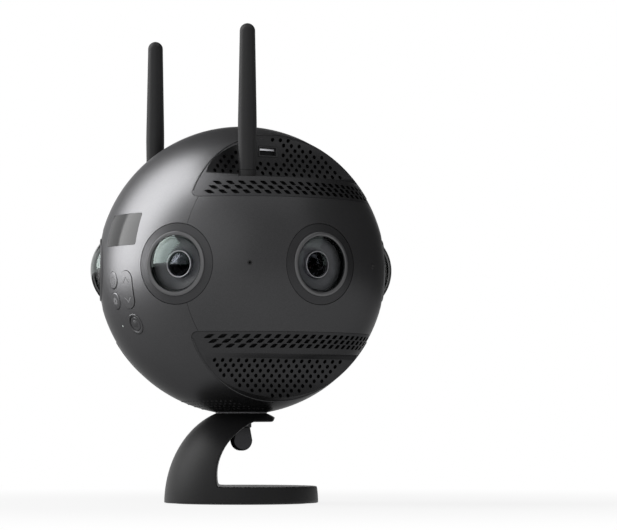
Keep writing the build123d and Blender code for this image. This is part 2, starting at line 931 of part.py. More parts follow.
def battery():
    block_piece = along_y(battery_outline(0), battery_front_y, reach) & Sphere(ball_radius)
    return block_piece - battery_grips()


def bay_bottom_z():
    return battery_bottom_z - battery_gap - bay_wall


def battery_bay():
    front = battery_front_y - battery_gap - bay_wall
    case = along_y(battery_outline(battery_gap + bay_wall), front, reach)
    case -= along_y(battery_outline(battery_gap), front + bay_wall, reach + overrun)
    case &= Sphere(inner_radius - seat_gap)
    return case - [place * base_screw(fit_gap) for place in base_screw_places()]


def release_button():
    return Rot(0, 0, 180) * outward(release_x, release_z) * round_button(release_radius, release_travel)


# Rear port panel

def socket_hole(x, z, width, height):
    return block(x - width / 2, x + width / 2, panel_face_y - port_depth, reach,
                 z - height / 2, z + height / 2)


def port_panel():
    margin = panel_margin
    panel = block(-panel_half_width - margin, panel_half_width + margin, panel_face_y - panel_wall,
                  panel_face_y, panel_low_z - margin, panel_high_z + margin)
    panel += block(-panel_half_width + margin, panel_half_width - margin,
                   panel_face_y - port_depth - port_box_wall, panel_face_y,
                   panel_low_z + port_box_wall, panel_high_z - port_box_wall)
    panel -= socket_hole(video_socket_x, video_socket_z, video_socket_width, video_socket_height)
    panel -= socket_hole(bus_socket_x, bus_socket_z, bus_socket_width, bus_socket_height)
    panel -= socket_hole(card_slot_x, card_slot_z, card_slot_width, card_slot_height)
    jack = Pos(jack_x, 0, jack_z) * Rot(-90, 0, 0)
    panel -= jack * rod(jack_radius, panel_face_y - port_depth, reach)
    port_floor_y = panel_face_y - port_depth - port_box_wall
    panel += jack * rod(jack_pin_radius, port_floor_y, panel_face_y - port_tongue)
    for x, z, width in ((video_socket_x, video_socket_z, video_socket_width),
                        (bus_socket_x, bus_socket_z, bus_socket_width)):
        half = width / 2 - port_tongue
        panel += block(x - half, x + half, port_floor_y, panel_face_y - port_tongue,
                       z - port_tongue / 2, z + port_tongue / 2)
    return panel & Sphere(inner_radius - seat_gap)


# Stand

def stand_dome():
    top_angle = degrees(asin(stand_top_z / stand_curve_height))
    low_angle = degrees(asin(foot_rise / stand_curve_height))
    curve = EllipticalCenterArc((0, 0), stand_radius, stand_curve_height, low_angle,
                               arc_size=top_angle - low_angle)
    low, high = curve @ 0, curve @ 1
    outline = curve + Polyline(high, (0, stand_top_z), (0, foot_rise), low)
    return revolve(make_face(Plane.XZ * outline), Axis.Z)


def throat_outline():
    # what is cut away to leave the foot, the arm and the top plate
    far = stand_radius + overrun
    centre_x, centre_z = throat_centre_x, throat_centre_z
    window = Pos(0, (foot_top_z + plate_under_z) / 2) * Rectangle(2 * far, plate_under_z - foot_top_z)
    outline = Pos(centre_x, centre_z) * Ellipse(throat_half_length, throat_half_height)
    outline += Polygon((centre_x, foot_top_z), (far, foot_top_z), (far, plate_under_z),
                       (centre_x, plate_under_z), align=None)
    outline &= window
    left_x = outline.vertices().sort_by(Axis.X)[0]
    return fillet(left_x, throat_fillet_radius)


def throat_rims(body):
    # the long edges where the throat meets the outside of the arm
    low = foot_top_z + throat_fillet_radius
    high = plate_under_z - overrun
    return [edge for edge in body.edges() if edge.length > stand_radius / 2
            and edge.center().Z > low and edge.center().Z < high]


def stand_body():
    body = stand_dome() - through_y(throat_outline())
    body = fillet(throat_rims(body), stand_edge_radius)
    tip = Polygon((plate_tip_low_x, plate_under_z), (plate_tip_x, plate_tip_z),
                  (stand_radius, plate_tip_z), (stand_radius, plate_under_z - overrun),
                  (plate_tip_low_x, plate_under_z - overrun), align=None)
    body -= through_y(tip)
    body -= rod(well_radius(), foot_top_z + overrun, plate_under_z)
    body -= rod(thread_radius + seat_gap, foot_top_z + overrun, stand_top_z + overrun)
    body -= rod(foot_pad_radius + seat_gap, 0, foot_pad_wall)
    return body


def well_radius():
    return sqrt(paddle_radius**2 + (paddle_thickness / 2)**2) + well_gap


def top_pad():
    radius = stand_radius * sqrt(1 - (stand_top_z / stand_curve_height)**2)
    pad = rod(radius, stand_top_z, ball_height + base_flat_z - top_pad_gap)
    return pad - rod(thread_radius + seat_gap, 0, ball_height)


def foot_pad():
    return rod(foot_pad_radius, 0, foot_pad_wall)


def thumbscrew():
    centre_z = paddle_low_z + paddle_radius
    outline = Pos(0, centre_z) * Circle(paddle_radius)
    outline += Polygon((-paddle_radius, centre_z), (paddle_radius, centre_z),
                       (paddle_neck_half_width, paddle_neck_z), (-paddle_neck_half_width, paddle_neck_z),
                       align=None)
    half = paddle_thickness / 2
    paddle = along_y(outline, -half, half)
    sides = paddle.faces().sort_by(Axis.Y)
    paddle = chamfer(sides[0].edges() + sides[-1].edges(), paddle_bevel)
    collar_top = plate_under_z - collar_gap
    screw = Rot(0, 0, paddle_angle) * paddle + rod(collar_radius, paddle_neck_z - paddle_bevel, collar_top)
    shank_top = ball_height + base_flat_z + shank_reach
    return screw + rod(thread_radius - fit_gap, collar_top - paddle_bevel, shank_top)


# All pieces by node name, each a list of solids

def stand_pieces():
    return {
        "stand_body": [stand_body()],
        "stand_top_pad": [top_pad()],
        "stand_foot_pad": [foot_pad()],
        "thumbscrew": [thumbscrew()]}


def shell_pieces():
    shell = ball_shell()
    panel = side_panel(shell)
    upper = vent(True, False)
    lower = mirror(vent(False, False), about=Plane.XY)
    return {
        "front_shell": [front_shell(shell)],
        "rear_shell": [rear_shell(shell)],
        "right_side_panel": [panel],
        "left_side_panel": [mirror(panel, about=Plane.YZ)],
        "upper_right_vent": [vent(True, True)],
        "upper_left_vent": [mirror(upper, about=Plane.YZ)],
        "lower_right_vent": [lower],
        "lower_left_vent": [mirror(lower, about=Plane.YZ)],
        "wall_socket": [wall_socket()],
        "base_plate": [base_plate()],
        "tripod_insert": [tripod_insert()],
        "base_screws": [place * base_screw(0) for place in base_screw_places()]}


def lens_pieces():
    places = [lens_place(index) for index in range(lens_count)]
    pieces = {}
    for kind, shape in (("bezel", lens_bezel()), ("front_glass", lens_glass()), ("barrel", lens_barrel())):
        for name, place in zip(lens_names, places):
            pieces[f"{name}_lens_{kind}"] = [place * shape]
    pieces["inner_lenses"] = [place * inner_lens() for place in places]
    pieces["inner_lens_mounts"] = [place * inner_lens_mount() for place in places]
    pieces["sensor_boards"] = [place * sensor_board() for place in places]
    pieces["module_screws"] = [place * screw for place in places for screw in module_screws()]
    return pieces


def control_pieces():
    return {
        "display_window": [display_window()],
        "display_module": [display_module()],
        "power_button": [outward(power_x, power_z) * round_button(round_button_radius, button_travel)],
        "settings_button": [outward(settings_x, settings_z) * round_button(round_button_radius,
                                                                            button_travel)],
        "rocker_button": [outward(rocker_x, rocker_z) * rocker_button()],
        "shutter_button": [outward(shutter_x, shutter_z) * shutter_button()],
        "button_board": [key_board()],
        "status_lamp": [status_lamp()],
        "microphones": [microphone_place(angle) * microphone() for angle in microphone_angles]}


def aerial_pieces():
    right = Pos(aerial_x, aerial_y, 0)
    left = Pos(-aerial_x, aerial_y, 0)
    return {
        "right_aerial": [right * aerial()],
        "left_aerial": [left * aerial()],
        "aerial_connectors": [right * aerial_connector(), left * aerial_connector()]}


def inner_pieces():
    return {
        "core_frame": [core_frame()],
        "main_board": [main_board()],
        "heat_sink": [heat_sink()],
        "fan_housing": [fan_housing()],
        "fan_rotor": [fan_rotor()],
        "battery_bay": [battery_bay()],
        "battery": [battery()],
        "battery_release_button": [release_button()],
        "rear_port_panel": [port_panel()]}


def write_node(name, solids):
    shape = solids[0] if len(solids) == 1 else Compound(children=solids)
    export_step(shape, os.path.join("parts", f"{name}.step"))


def main():
    os.makedirs("parts", exist_ok=True)
    for name, solids in stand_pieces().items():
        write_node(name, solids)
    for group in (shell_pieces, lens_pieces, control_pieces, aerial_pieces, inner_pieces):
        for name, solids in group().items():
            write_node(name, [head_place * solid for solid in solids])


main()
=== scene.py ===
import bpy
import json
from math import asin, cos, pi, radians, sin, sqrt
from mathutils import Matrix, Vector

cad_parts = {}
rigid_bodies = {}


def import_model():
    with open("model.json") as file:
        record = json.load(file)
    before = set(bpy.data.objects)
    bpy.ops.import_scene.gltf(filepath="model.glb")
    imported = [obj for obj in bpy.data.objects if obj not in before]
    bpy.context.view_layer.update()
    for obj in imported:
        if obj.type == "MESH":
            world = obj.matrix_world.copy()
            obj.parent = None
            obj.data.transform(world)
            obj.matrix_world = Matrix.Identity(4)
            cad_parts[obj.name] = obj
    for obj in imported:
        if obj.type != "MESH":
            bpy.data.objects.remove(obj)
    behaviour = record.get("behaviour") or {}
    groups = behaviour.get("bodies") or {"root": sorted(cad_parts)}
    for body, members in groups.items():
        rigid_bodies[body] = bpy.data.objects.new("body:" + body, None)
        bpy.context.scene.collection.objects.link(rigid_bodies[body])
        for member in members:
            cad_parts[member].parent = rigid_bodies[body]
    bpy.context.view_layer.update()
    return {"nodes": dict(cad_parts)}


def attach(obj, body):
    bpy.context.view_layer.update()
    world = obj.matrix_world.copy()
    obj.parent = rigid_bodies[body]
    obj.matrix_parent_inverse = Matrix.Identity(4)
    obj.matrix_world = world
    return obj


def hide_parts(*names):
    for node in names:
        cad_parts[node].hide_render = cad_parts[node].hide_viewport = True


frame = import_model()
print("frame loaded")

# the head is drawn in mm about the middle of the ball, with the display towards -Y
ballRadius, far = 71.5, 90.0
whole = {"ballHeight": 115.3, "headTurn": -56.8, "shellWall": 2.2, "seam": 0.15, "ballSegments": 192,
    "ballRings": 96, "onBall": 0.05}
mm = 0.001
ballMiddle = Vector((0, 0, whole["ballHeight"] * mm))


def turned(angle, axis="Z"):
    return Matrix.Rotation(angle, 4, axis)


standPlace = Matrix.Scale(mm, 4)
headPlace = Matrix.Translation(ballMiddle) @ turned(radians(whole["headTurn"])) @ standPlace


def deselect():
    bpy.ops.object.select_all(action="DESELECT")


def drop(obj):
    bpy.data.objects.remove(obj)


def only(*objs):
    # selects these alone, with the last one active
    deselect()
    for obj in objs:
        obj.select_set(True)
    bpy.context.view_layer.objects.active = objs[-1]
    return objs[-1]


def enterEdit():
    bpy.ops.object.mode_set(mode="EDIT")


def toEdit(obj):
    only(obj)
    enterEdit()
    bpy.ops.mesh.select_mode(type="VERT")
    bpy.ops.mesh.select_all(action="SELECT")


def toObject():
    bpy.ops.object.mode_set(mode="OBJECT")


def tidyNormals(obj):
    # merges doubles and turns all faces outwards
    toEdit(obj)
    bpy.ops.mesh.remove_doubles(threshold=0.001)
    bpy.ops.mesh.normals_make_consistent(inside=False)
    toObject()
    return obj


def change(obj, kind, **settings):
    modifier = obj.modifiers.new(kind.lower(), kind)
    for name, value in settings.items():
        setattr(modifier, name, value)
    only(obj)
    bpy.ops.object.modifier_apply(modifier=modifier.name)
    return obj


def joined(*objs):
    merged = only(*objs)
    if len(objs) > 1:
        bpy.ops.object.join()
    return merged


def cut(obj, *tools, operation="DIFFERENCE"):
    tool = joined(*tools)
    change(obj, "BOOLEAN", object=tool, operation=operation, solver="EXACT")
    drop(tool)
    return obj


def copyOf(obj, name):
    twin = obj.copy()
    twin.data = obj.data.copy()
    twin.name = name
    bpy.context.scene.collection.objects.link(twin)
    return twin


def pen(name, points):
    # a single vertex, pushed along the line of points
    deselect()
    bpy.ops.mesh.primitive_plane_add(size=1)
    obj = bpy.context.object
    obj.name = name
    toEdit(obj)
    bpy.ops.mesh.merge(type="CENTER")
    points = [Vector(point) for point in points]
    bpy.ops.transform.translate(value=points[0])
    for last, point in zip(points, points[1:]):
        bpy.ops.mesh.extrude_region_move(TRANSFORM_OT_translate={"value": point - last})
    return obj


def lathe(name, outline, steps=96):
    # turned about Z from (radius, height) points
    obj = pen(name, [(radius, 0, height) for radius, height in outline])
    bpy.ops.mesh.select_all(action="SELECT")
    bpy.ops.mesh.spin(steps=steps, angle=2 * pi, center=(0, 0, 0), axis=(0, 0, 1))
    toObject()
    return tidyNormals(obj)


def prism(name, outline, low, high, along="Y", corners=None, radius=0.0, segments=8):
    # an outline in x and z pushed along Y, or in x and y pushed along Z
    turnedUp = along == "Z"
    obj = pen(name, [(x, y, low) if turnedUp else (x, low, y) for x, y in outline])
    bpy.ops.mesh.select_all(action="SELECT")
    bpy.ops.mesh.edge_face_add()
    if radius:
        toObject()
        for vertex in obj.data.vertices:
            place = (vertex.co.x, vertex.co.y if turnedUp else vertex.co.z)
            vertex.select = corners is None or any(
                abs(place[0] - x) + abs(place[1] - y) < 0.01 for x, y in corners)
        for part in list(obj.data.edges) + list(obj.data.polygons):
            part.select = False
        enterEdit()
        bpy.ops.mesh.bevel(affect="VERTICES", offset=radius, segments=segments)
        bpy.ops.mesh.select_all(action="SELECT")
    push = (0, 0, high - low) if turnedUp else (0, high - low, 0)
    bpy.ops.mesh.extrude_region_move(TRANSFORM_OT_translate={"value": push})
    toObject()
    return tidyNormals(obj)


def rod(name, radius, low, high, sides=64):
    deselect()
    bpy.ops.mesh.primitive_cylinder_add(vertices=sides, radius=radius, depth=high - low,
        location=(0, 0, (low + high) / 2))
    bpy.ops.object.transform_apply(location=True, rotation=False, scale=False)
    bpy.context.object.name = name
    return bpy.context.object


def rectangle(xLow, xHigh, yLow, yHigh):
    return [(xLow, yLow), (xHigh, yLow), (xHigh, yHigh), (xLow, yHigh)]


def ball(name, radius):
    deselect()
    bpy.ops.mesh.primitive_uv_sphere_add(segments=whole["ballSegments"], ring_count=whole["ballRings"],
        radius=radius)
    bpy.context.object.name = name
    return bpy.context.object


def move(obj, place):
    bpy.context.view_layer.update()
    obj.matrix_world = place @ obj.matrix_world
    only(obj)
    bpy.ops.object.transform_apply(location=True, rotation=True, scale=True)
    return obj


def mirrored(obj, axis):
    move(obj, Matrix.Scale(-1, 4, axis))
    return tidyNormals(obj)


def outward(x, z):
    # turns a piece drawn along Z so that it points out of the ball's front at x and z
    side = asin(x / sqrt(ballRadius ** 2 - z ** 2))
    return turned(side) @ turned(pi / 2 - asin(z / ballRadius), "X")


def roundTurn(angle):
    # turns a piece drawn along Z towards an angle round the ball
    return turned(radians(angle)) @ turned(pi / 2, "X")


behind = turned(pi)


# Colours and finishes
def linear(code):
    parts = [int(code[i:i + 2], 16) / 255 for i in (1, 3, 5)]
    return [c / 12.92 if c <= 0.04045 else ((c + 0.055) / 1.055) ** 2.4 for c in parts] + [1]


def addNode(tree, kind, links=None, **settings):
    node = tree.nodes.new("ShaderNode" + kind)
    for name, value in settings.items():
        setattr(node, name, value)
    for key, value in (links or {}).items():
        if isinstance(value, bpy.types.NodeSocket):
            tree.links.new(value, node.inputs[key])
        else:
            node.inputs[key].default_value = value
    return node


def emptyTree(owner):
    owner.use_nodes = True
    owner.node_tree.nodes.clear()
    return owner.node_tree


def ranged(tree, value, span, result, **settings):
    # maps a span of values to the result
    return addNode(tree, "MapRange", {"Value": value, "From Min": span[0], "From Max": span[1],
            "To Min": result[0], "To Max": result[1]}, **settings).outputs[0]


noise = {"fine": 3.0, "broad": 2.0, "toneSpan": (0.75, 1.25), "roughSpan": (0.3, 0.7)}
domes = {"blend": 0.5, "facing": (0.3, 0.8)}


def makeFinish(name, colours, roughness, grain, bump, blotch, shader):
    # grain, bump and blotch are in mm, colours and roughness run from low to high
    material = bpy.data.materials.new(name)
    tree = emptyTree(material)
    coords = addNode(tree, "TexCoord").outputs["Object"]
    fine, broad = (addNode(tree, "TexNoise", {"Vector": coords, "Scale": 1 / (size * mm), "Detail": detail})
        for size, detail in ((grain, noise["fine"]), (blotch, noise["broad"])))
    both = addNode(tree, "Math", {0: fine.outputs[0], 1: broad.outputs[0]}, operation="ADD")
    tone = ranged(tree, both.outputs[0], noise["toneSpan"], (0, 1))
    colour = addNode(tree, "Mix", {0: tone, 6: linear(colours[0]), 7: linear(colours[1])}, data_type="RGBA")
    rough = ranged(tree, broad.outputs[0], noise["roughSpan"], roughness)
    surface = addNode(tree, "BsdfPrincipled", {"Base Color": colour.outputs[2], "Roughness": rough, **shader})
    if bump:
        dents = addNode(tree, "Bump", {"Height": fine.outputs[0], "Distance": bump * mm})
        tree.links.new(dents.outputs[0], surface.inputs["Normal"])
    addNode(tree, "OutputMaterial", {"Surface": surface.outputs[0]})
    return material


# a blasted and anodised metal, whose pores keep its edges from shining
blasted = {"Metallic": 0.85, "Specular IOR Level": 0.1, "Specular Tint": linear("#adadad")}
metal = {"Metallic": 1.0}
# name, colours, roughness, grain, bump, blotch and the rest of the shader
finishes = {
    # bead blasted and anodised aluminium: soft metallic sheen with a fine even grain
    "body": ("graphiteAnodisedAluminium", ("#3f3f40", "#454546"), (0.33, 0.37), 0.6, 0.006, 60, blasted),
    # the same metal left rougher under the air slots
    "vent": ("mattAnodisedVentPanel", ("#363637", "#3c3c3d"), (0.4, 0.46), 0.6, 0.01, 40, blasted),
    # woven dust net behind the air holes: nearly black
    "net": ("blackDustNet", ("#141415", "#1c1c1d"), (0.6, 0.7), 0.5, 0.05, 10, {"Specular IOR Level": 0.2}),
    # turned and anodised ring: even and matt
    "bezel": ("graphiteAnodisedBezel", ("#363637", "#3c3c3d"), (0.3, 0.36), 0.5, 0.006, 20, blasted),
    # turned ring painted a lighter grey than the bezel: a painted highlight for the light that its raised
    # edge catches
    "ring": ("greyAnodisedRing", ("#5c5c5d", "#646465"), (0.3, 0.36), 0.4, 0.004, 15, blasted),
    # smooth enamel inside a lens barrel: softly glossy, and nearly black behind the dark glass
    "funnel": ("greyBarrelEnamel", ("#66686c", "#707276"), (0.3, 0.35), 0.5, 0, 10, {}),
    # bright satin metal of the rings, bars and liners
    "silver": ("satinAluminium", ("#d4d4d9", "#dedee3"), (0.35, 0.4), 0.4, 0.002, 8, metal),
    # thin coated optical glass, seen through: smoky, with a faint green or blue reflection
    "glass": ("coatedFrontGlass", ("#020303", "#040505"), (0.02, 0.02), 2, 0, 30,
        {"Specular IOR Level": 1.0, "Specular Tint": linear("#dcf5ee")}),
    "innerGlass": ("coatedInnerGlass", ("#020203", "#040405"), (0.03, 0.03), 2, 0, 30,
        {"Specular IOR Level": 1.0, "Specular Tint": linear("#e4ecff")}),
    # the last glass in the lens, with the amber and violet look of its coating
    "rearGlass": ("amberCoatedGlass", ("#2a1510", "#150f22"), (0.03, 0.06), 3, 0, 4, {"Metallic": 0.6}),
    # black glass that mirrors the lamps over the display
    "display": ("blackDisplayGlass", ("#101113", "#17181b"), (0.08, 0.14), 1.2, 0, 25, {}),
    "panel": ("displayPanel", ("#1a1c20", "#202227"), (0.3, 0.35), 0.8, 0.002, 10, {}),
    # the body's metal on the button caps
    "button": ("anodisedButtonCap", ("#3f3f40", "#454546"), (0.33, 0.37), 0.6, 0.006, 30, blasted),
    # screen printed marks
    "print": ("greyPrint", ("#8a8a8c", "#959597"), (0.4, 0.5), 0.4, 0.004, 6, {}),
    # clear plastic over a dim pale light
    "lamp": ("clearLampLens", ("#c9d6cf", "#e2ebe6"), (0.15, 0.2), 0.3, 0.002, 3,
        {"Emission Color": linear("#dfe8e2"), "Emission Strength": 0.25}),
    # fine dark mesh over the microphones
    "microphone": ("microphoneMesh", ("#101011", "#1a1a1b"), (0.6, 0.7), 0.3, 0.03, 5, {}),
    # moulded soft rubber over the aerial rod
    "aerial": ("blackAerialRubber", ("#18181a", "#1d1d1e"), (0.42, 0.5), 0.5, 0.012, 30,
        {"Specular IOR Level": 0.3}),
    # powder coated cast aluminium
    "stand": ("blackPowderCoat", ("#161617", "#1b1b1c"), (0.42, 0.5), 0.7, 0.02, 40,
        {"Specular IOR Level": 0.2}),
    "paddle": ("greyThumbscrewMetal", ("#38383a", "#404041"), (0.36, 0.44), 0.6, 0.01, 20, blasted),
    # soft pads: pale above, black below
    "pad": ("paleSiliconePad", ("#77777a", "#858588"), (0.5, 0.6), 0.5, 0.01, 20, {}),
    "foot": ("blackFootRubber", ("#17171a", "#1e1e20"), (0.6, 0.7), 0.6, 0.03, 20, {}),
    # machined, moulded and cast pieces at the base, the rear and inside
    "base": ("machinedBasePlate", ("#5a5a5c", "#666668"), (0.3, 0.36), 0.4, 0.004, 20, {"Metallic": 0.8}),
    "battery": ("mouldedBatteryCase", ("#2c2c2e", "#343436"), (0.42, 0.5), 0.6, 0.015, 40, {}),
    "plastic": ("mouldedBlackPlastic", ("#18181a", "#202022"), (0.45, 0.55), 0.6, 0.02, 30, {}),
    "board": ("greenSolderMask", ("#0f3d22", "#14502c"), (0.3, 0.4), 0.8, 0.01, 6, {}),
    "steel": ("platedScrewSteel", ("#8b8b8d", "#9a9a9c"), (0.24, 0.32), 0.4, 0.003, 6, metal),
    "brass": ("machinedBrass", ("#9d7b3c", "#b58f4b"), (0.24, 0.32), 0.4, 0.003, 6, metal),
    "cast": ("castCoolingAluminium", ("#7c7d7f", "#8b8c8e"), (0.42, 0.5), 0.8, 0.02, 20, {"Metallic": 0.9})}
finishes = {key: makeFinish(*row) for key, row in finishes.items()}


def seenThrough(material, middle, rim):
    # glass that shows what is behind it and turns dark where its dome is seen at a flat angle
    tree = material.node_tree
    surface = next(node for node in tree.nodes if node.bl_idname == "ShaderNodeBsdfPrincipled")
    slant = addNode(tree, "LayerWeight", {"Blend": domes["blend"]}).outputs["Facing"]
    tree.links.new(ranged(tree, slant, domes["facing"], (middle, rim)), surface.inputs["Alpha"])


seenThrough(finishes["glass"], 0.15, 0.9)
seenThrough(finishes["innerGlass"], 0.4, 0.9)


def dress(obj, material):
    obj.data.materials.clear()
    obj.data.materials.append(finishes[material])


def finish(obj, place, material, body, replaced=(), angle=35):
    move(obj, place)
    bpy.ops.object.shade_smooth_by_angle(angle=radians(angle))
    dress(obj, material)
    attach(obj, body)
    if replaced:
        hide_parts(*replaced)
    return obj


def nodeName(name):
    # the CAD node's name: rightAerial becomes right_aerial
    return "".join("_" + letter.lower() if letter.isupper() else letter for letter in name)


def roundShading(obj):
    # the faces on the ball's surface shade as one true sphere
    radius = ballRadius * mm
    points = obj.data.vertices
    only(obj)
    enterEdit()
    bpy.ops.mesh.select_mode(type="FACE")
    bpy.ops.mesh.select_all(action="DESELECT")
    toObject()
    for face in obj.data.polygons:
        face.select = all(abs((points[i].co - ballMiddle).length - radius) < whole["onBall"] * mm
            for i in face.vertices)
    enterEdit()
    bpy.ops.mesh.point_normals(mode="COORDINATES", target_location=ballMiddle, invert=True)
    toObject()
    return obj


print("finishes made")

# Places on the ball, in mm
lenses = {"holeRadius": 19.6, "angles": {"front_right": 30, "right": 90, "rear_right": 150,
        "rear_left": 210, "left": 270, "front_left": 330}}
vents = {"edgeX": 35.6, "edgeZ": 32.2, "topX": 29.3, "topZ": 63.0, "corner": 3.5, "wall": 1.6,
    "shelfZ": 42.2, "deepX": 32.1, "deepZ": 56.0, "curve": 22.0, "curveSteps": 28, "pocketCorner": 0.8,
    "holeRadius": 1.0, "holePitch": 4.6, "rowPitch": 2.4, "rows": 8, "firstRow": 3.4, "holeMargin": 4.4,
    "holeShift": -1.29, "bandWidth": 2.4, "bandHeight": 1.9, "bandLean": 0.55, "bandPitch": 4.6,
    "bandRowPitch": 2.25, "bandRows": 3, "bandFirstRow": 2.3, "bandShift": 2.16, "bandMargin": 5.5,
    "holeDepth": 4, "holeSides": 14, "bandDepth": 5, "bandCorner": 0.45, "lipRadius": 0.32,
    "lipInset": 0.45, "netGap": 0.3, "netWall": 0.3, "netReach": 2.5}
# socket in the upper right vent's wall, with a light contact bar
socket = {"y": -5.9, "z": 56.5, "width": 10.9, "height": 5.1, "depth": 6.0, "wall": 0.7, "face": 32.3,
    "proud": 0.2, "edge": 0.15, "barHeight": 1.0, "barDrop": 1.1, "barInset": 1.2, "barSink": 0.6,
    "barEdge": 0.12, "holeHalfY": 5.55, "holeHalfZ": 2.65, "holeFrom": 22, "holeTo": 60,
    "roomY": 7.6, "roomZ": 4.2}
controls = {"roundRadius": 4.25, "gap": 0.15, "rise": 0.25, "power": (-5.2, -6.8), "settings": (-5.2, -16.7),
    "shutter": (6.5, -28.1), "shutterRadius": 5.3, "rocker": (6.5, -11.7), "rockerLength": 18.6,
    "rockerWidth": 9.4, "rockerGap": 0.25, "rockerLow": 66.6, "rockerHigh": 80,
    "lamp": (-5.6, -28.8), "lampRadius": 0.6,
    "lampOutline": [(0, 71.55), (0.35, 71.5), (0.55, 71.35), (0.58, 65.0), (0, 65.0)]}
screen = {"halfWidth": 13.2, "lowZ": 9.8, "highZ": 25.5, "corner": 1.4, "cover": 1.5, "gap": 0.1,
    "front": -80, "back": -40}
rear = {"batteryHalf": 23.0, "batteryTop": -24.0, "batteryLow": -50.0, "batteryFront": -30.0, "edge": 2.0,
    "outside": 80, "cutFrom": 20, "gap": 0.25, "releaseZ": -16.8, "releaseRadius": 3.8,
    "panelHalf": 15.0, "panelLow": 12.0, "panelHigh": 26.5, "panelCorner": 2.0}
microphones = {"angles": (60, 120, -60, -120), "radius": 1.2,
    "outline": [(0.55, 69.2), (0.55, 71.2), (0.7, 71.42), (1.1, 71.47), (1.15, 71.3), (1.15, 69.3),
        (2.4, 69.1), (2.4, 67.2), (0, 67.2), (0, 69.2), (0.55, 69.2)]}


def slopedX(z, x, low, topX, topZ):
    return x - (x - topX) * (z - low) / (topZ - low)


def ventTool(inset):
    v = vents
    x, z = v["edgeX"] + inset, v["edgeZ"] + inset
    top = slopedX(far, x, z, v["topX"] + inset, v["topZ"] + inset)
    return prism("ventTool", [(x, z), (far, z), (far, far), (top, far)], -far, far,
        corners=[(x, z)], radius=v["corner"])


def wallX(z, grow=0.0):
    # the hollowed wall is an arc in x and z
    centre = vents["deepX"] + vents["curve"]
    return centre - sqrt((vents["curve"] + grow) ** 2 - (z - vents["deepZ"]) ** 2)


def pocketTool(grow):
    v = vents
    low = v["shelfZ"] - grow
    high = 2 * v["deepZ"] - low
    steps = v["curveSteps"]
    levels = [low + (high - low) * i / steps for i in range(steps + 1)]
    wall = [(wallX(z, grow), z) for z in levels]
    outline = wall + [(wall[-1][0], far), (far, far), (far, low)]
    return prism("pocketTool", outline, -far, far, corners=[wall[0]], radius=v["pocketCorner"], segments=4)


def slotOutline(length, width, steps=12):
    # a rounded slot that is long in y
    radius, straight = width / 2, (length - width) / 2
    turns = [pi * i / steps for i in range(steps + 1)]
    upper = [(radius * cos(turn), straight + radius * sin(turn)) for turn in turns]
    return upper + [(-x, -y) for x, y in upper]


# The ball's shell, cut from one sphere and parted at its seams
shellCuts = {"from": 50, "lensFrom": 45, "baseRadius": 13.0, "seamX": 39.3, "seamReach": 1.0,
    "seamFrom": 30, "crossHalf": 38, "crossFrom": 20, "sideBeyond": 45}


def holeAt(x, z, radius, sides=48):
    return move(rod("holeTool", radius, shellCuts["from"], far, sides), outward(x, z))


def shellTools():
    c, r, s = controls, rear, screen
    gap, low, lensLow = c["gap"], shellCuts["from"], shellCuts["lensFrom"]
    tools = []
    for flipX in (False, True):
        for flipZ in (False, True):
            tool = ventTool(0)
            if flipX:
                mirrored(tool, (1, 0, 0))
            if flipZ:
                mirrored(tool, (0, 0, 1))
            tools.append(tool)
    for angle in lenses["angles"].values():
        tools.append(move(rod("lensTool", lenses["holeRadius"], lensLow, far, 128), roundTurn(angle)))
    tools.append(move(rod("baseTool", shellCuts["baseRadius"], lensLow, far, 96), turned(pi, "X")))
    window = rectangle(-s["halfWidth"], s["halfWidth"], s["lowZ"], s["highZ"])
    tools.append(prism("screenTool", window, -far, s["back"], radius=s["corner"]))
    for key, radius in (("power", c["roundRadius"]), ("settings", c["roundRadius"]),
            ("shutter", c["shutterRadius"])):
        tools.append(holeAt(*c[key], radius + gap))
    slot = slotOutline(c["rockerLength"] + 2 * c["rockerGap"], c["rockerWidth"] + 2 * c["rockerGap"])
    tools.append(move(prism("rockerTool", slot, low, far, "Z"), outward(*c["rocker"])))
    tools.append(holeAt(*c["lamp"], c["lampRadius"], 24))
    for angle in microphones["angles"]:
        tools.append(move(rod("microphoneTool", microphones["radius"], low, far, 24), roundTurn(angle)))
    half = r["batteryHalf"] + r["gap"]
    opening = rectangle(-half, half, r["batteryLow"] - r["gap"], r["batteryTop"] + r["gap"])
    tools.append(prism("batteryTool", opening, r["cutFrom"], far, radius=r["edge"]))
    tools.append(move(holeAt(0, r["releaseZ"], r["releaseRadius"] + gap), behind))
    opening = rectangle(-r["panelHalf"], r["panelHalf"], r["panelLow"], r["panelHigh"])
    tools.append(prism("panelTool", opening, r["cutFrom"], far, radius=r["panelCorner"]))
    return tools


def seamTools():
    half, c = whole["seam"] / 2, shellCuts
    crossHalf, crossFrom, height = c["crossHalf"], c["crossFrom"], vents["edgeZ"] + c["seamReach"]
    tools = [prism("seamTool", rectangle(-crossHalf, crossHalf, *sorted((crossFrom * side, far * side))),
            -half, half) for side in (-1, 1)]
    for side in (-1, 1):
        x = side * c["seamX"]
        for low, high in ((-far, -c["seamFrom"]), (c["seamFrom"], far)):
            tools.append(prism("seamTool", rectangle(x - half, x + half, -height, height), low, high))
    return tools


def makeShell():
    shell = ball("shell", ballRadius)
    change(shell, "SOLIDIFY", thickness=whole["shellWall"], offset=-1)
    cut(shell, *shellTools())
    cut(shell, *seamTools())
    only(shell)
    enterEdit()
    bpy.ops.mesh.separate(type="LOOSE")
    toObject()
    for obj in list(bpy.context.selected_objects):
        middle = sum((v.co for v in obj.data.vertices), Vector()) / len(obj.data.vertices)
        if abs(middle.x) > shellCuts["sideBeyond"]:
            obj.name = "rightSidePanel" if middle.x > 0 else "leftSidePanel"
        else:
            obj.name = "frontShell" if middle.y < 0 else "rearShell"
        finish(obj, headPlace, "body", "head", [nodeName(obj.name)])
        roundShading(obj)


makeShell()
print("shell made")


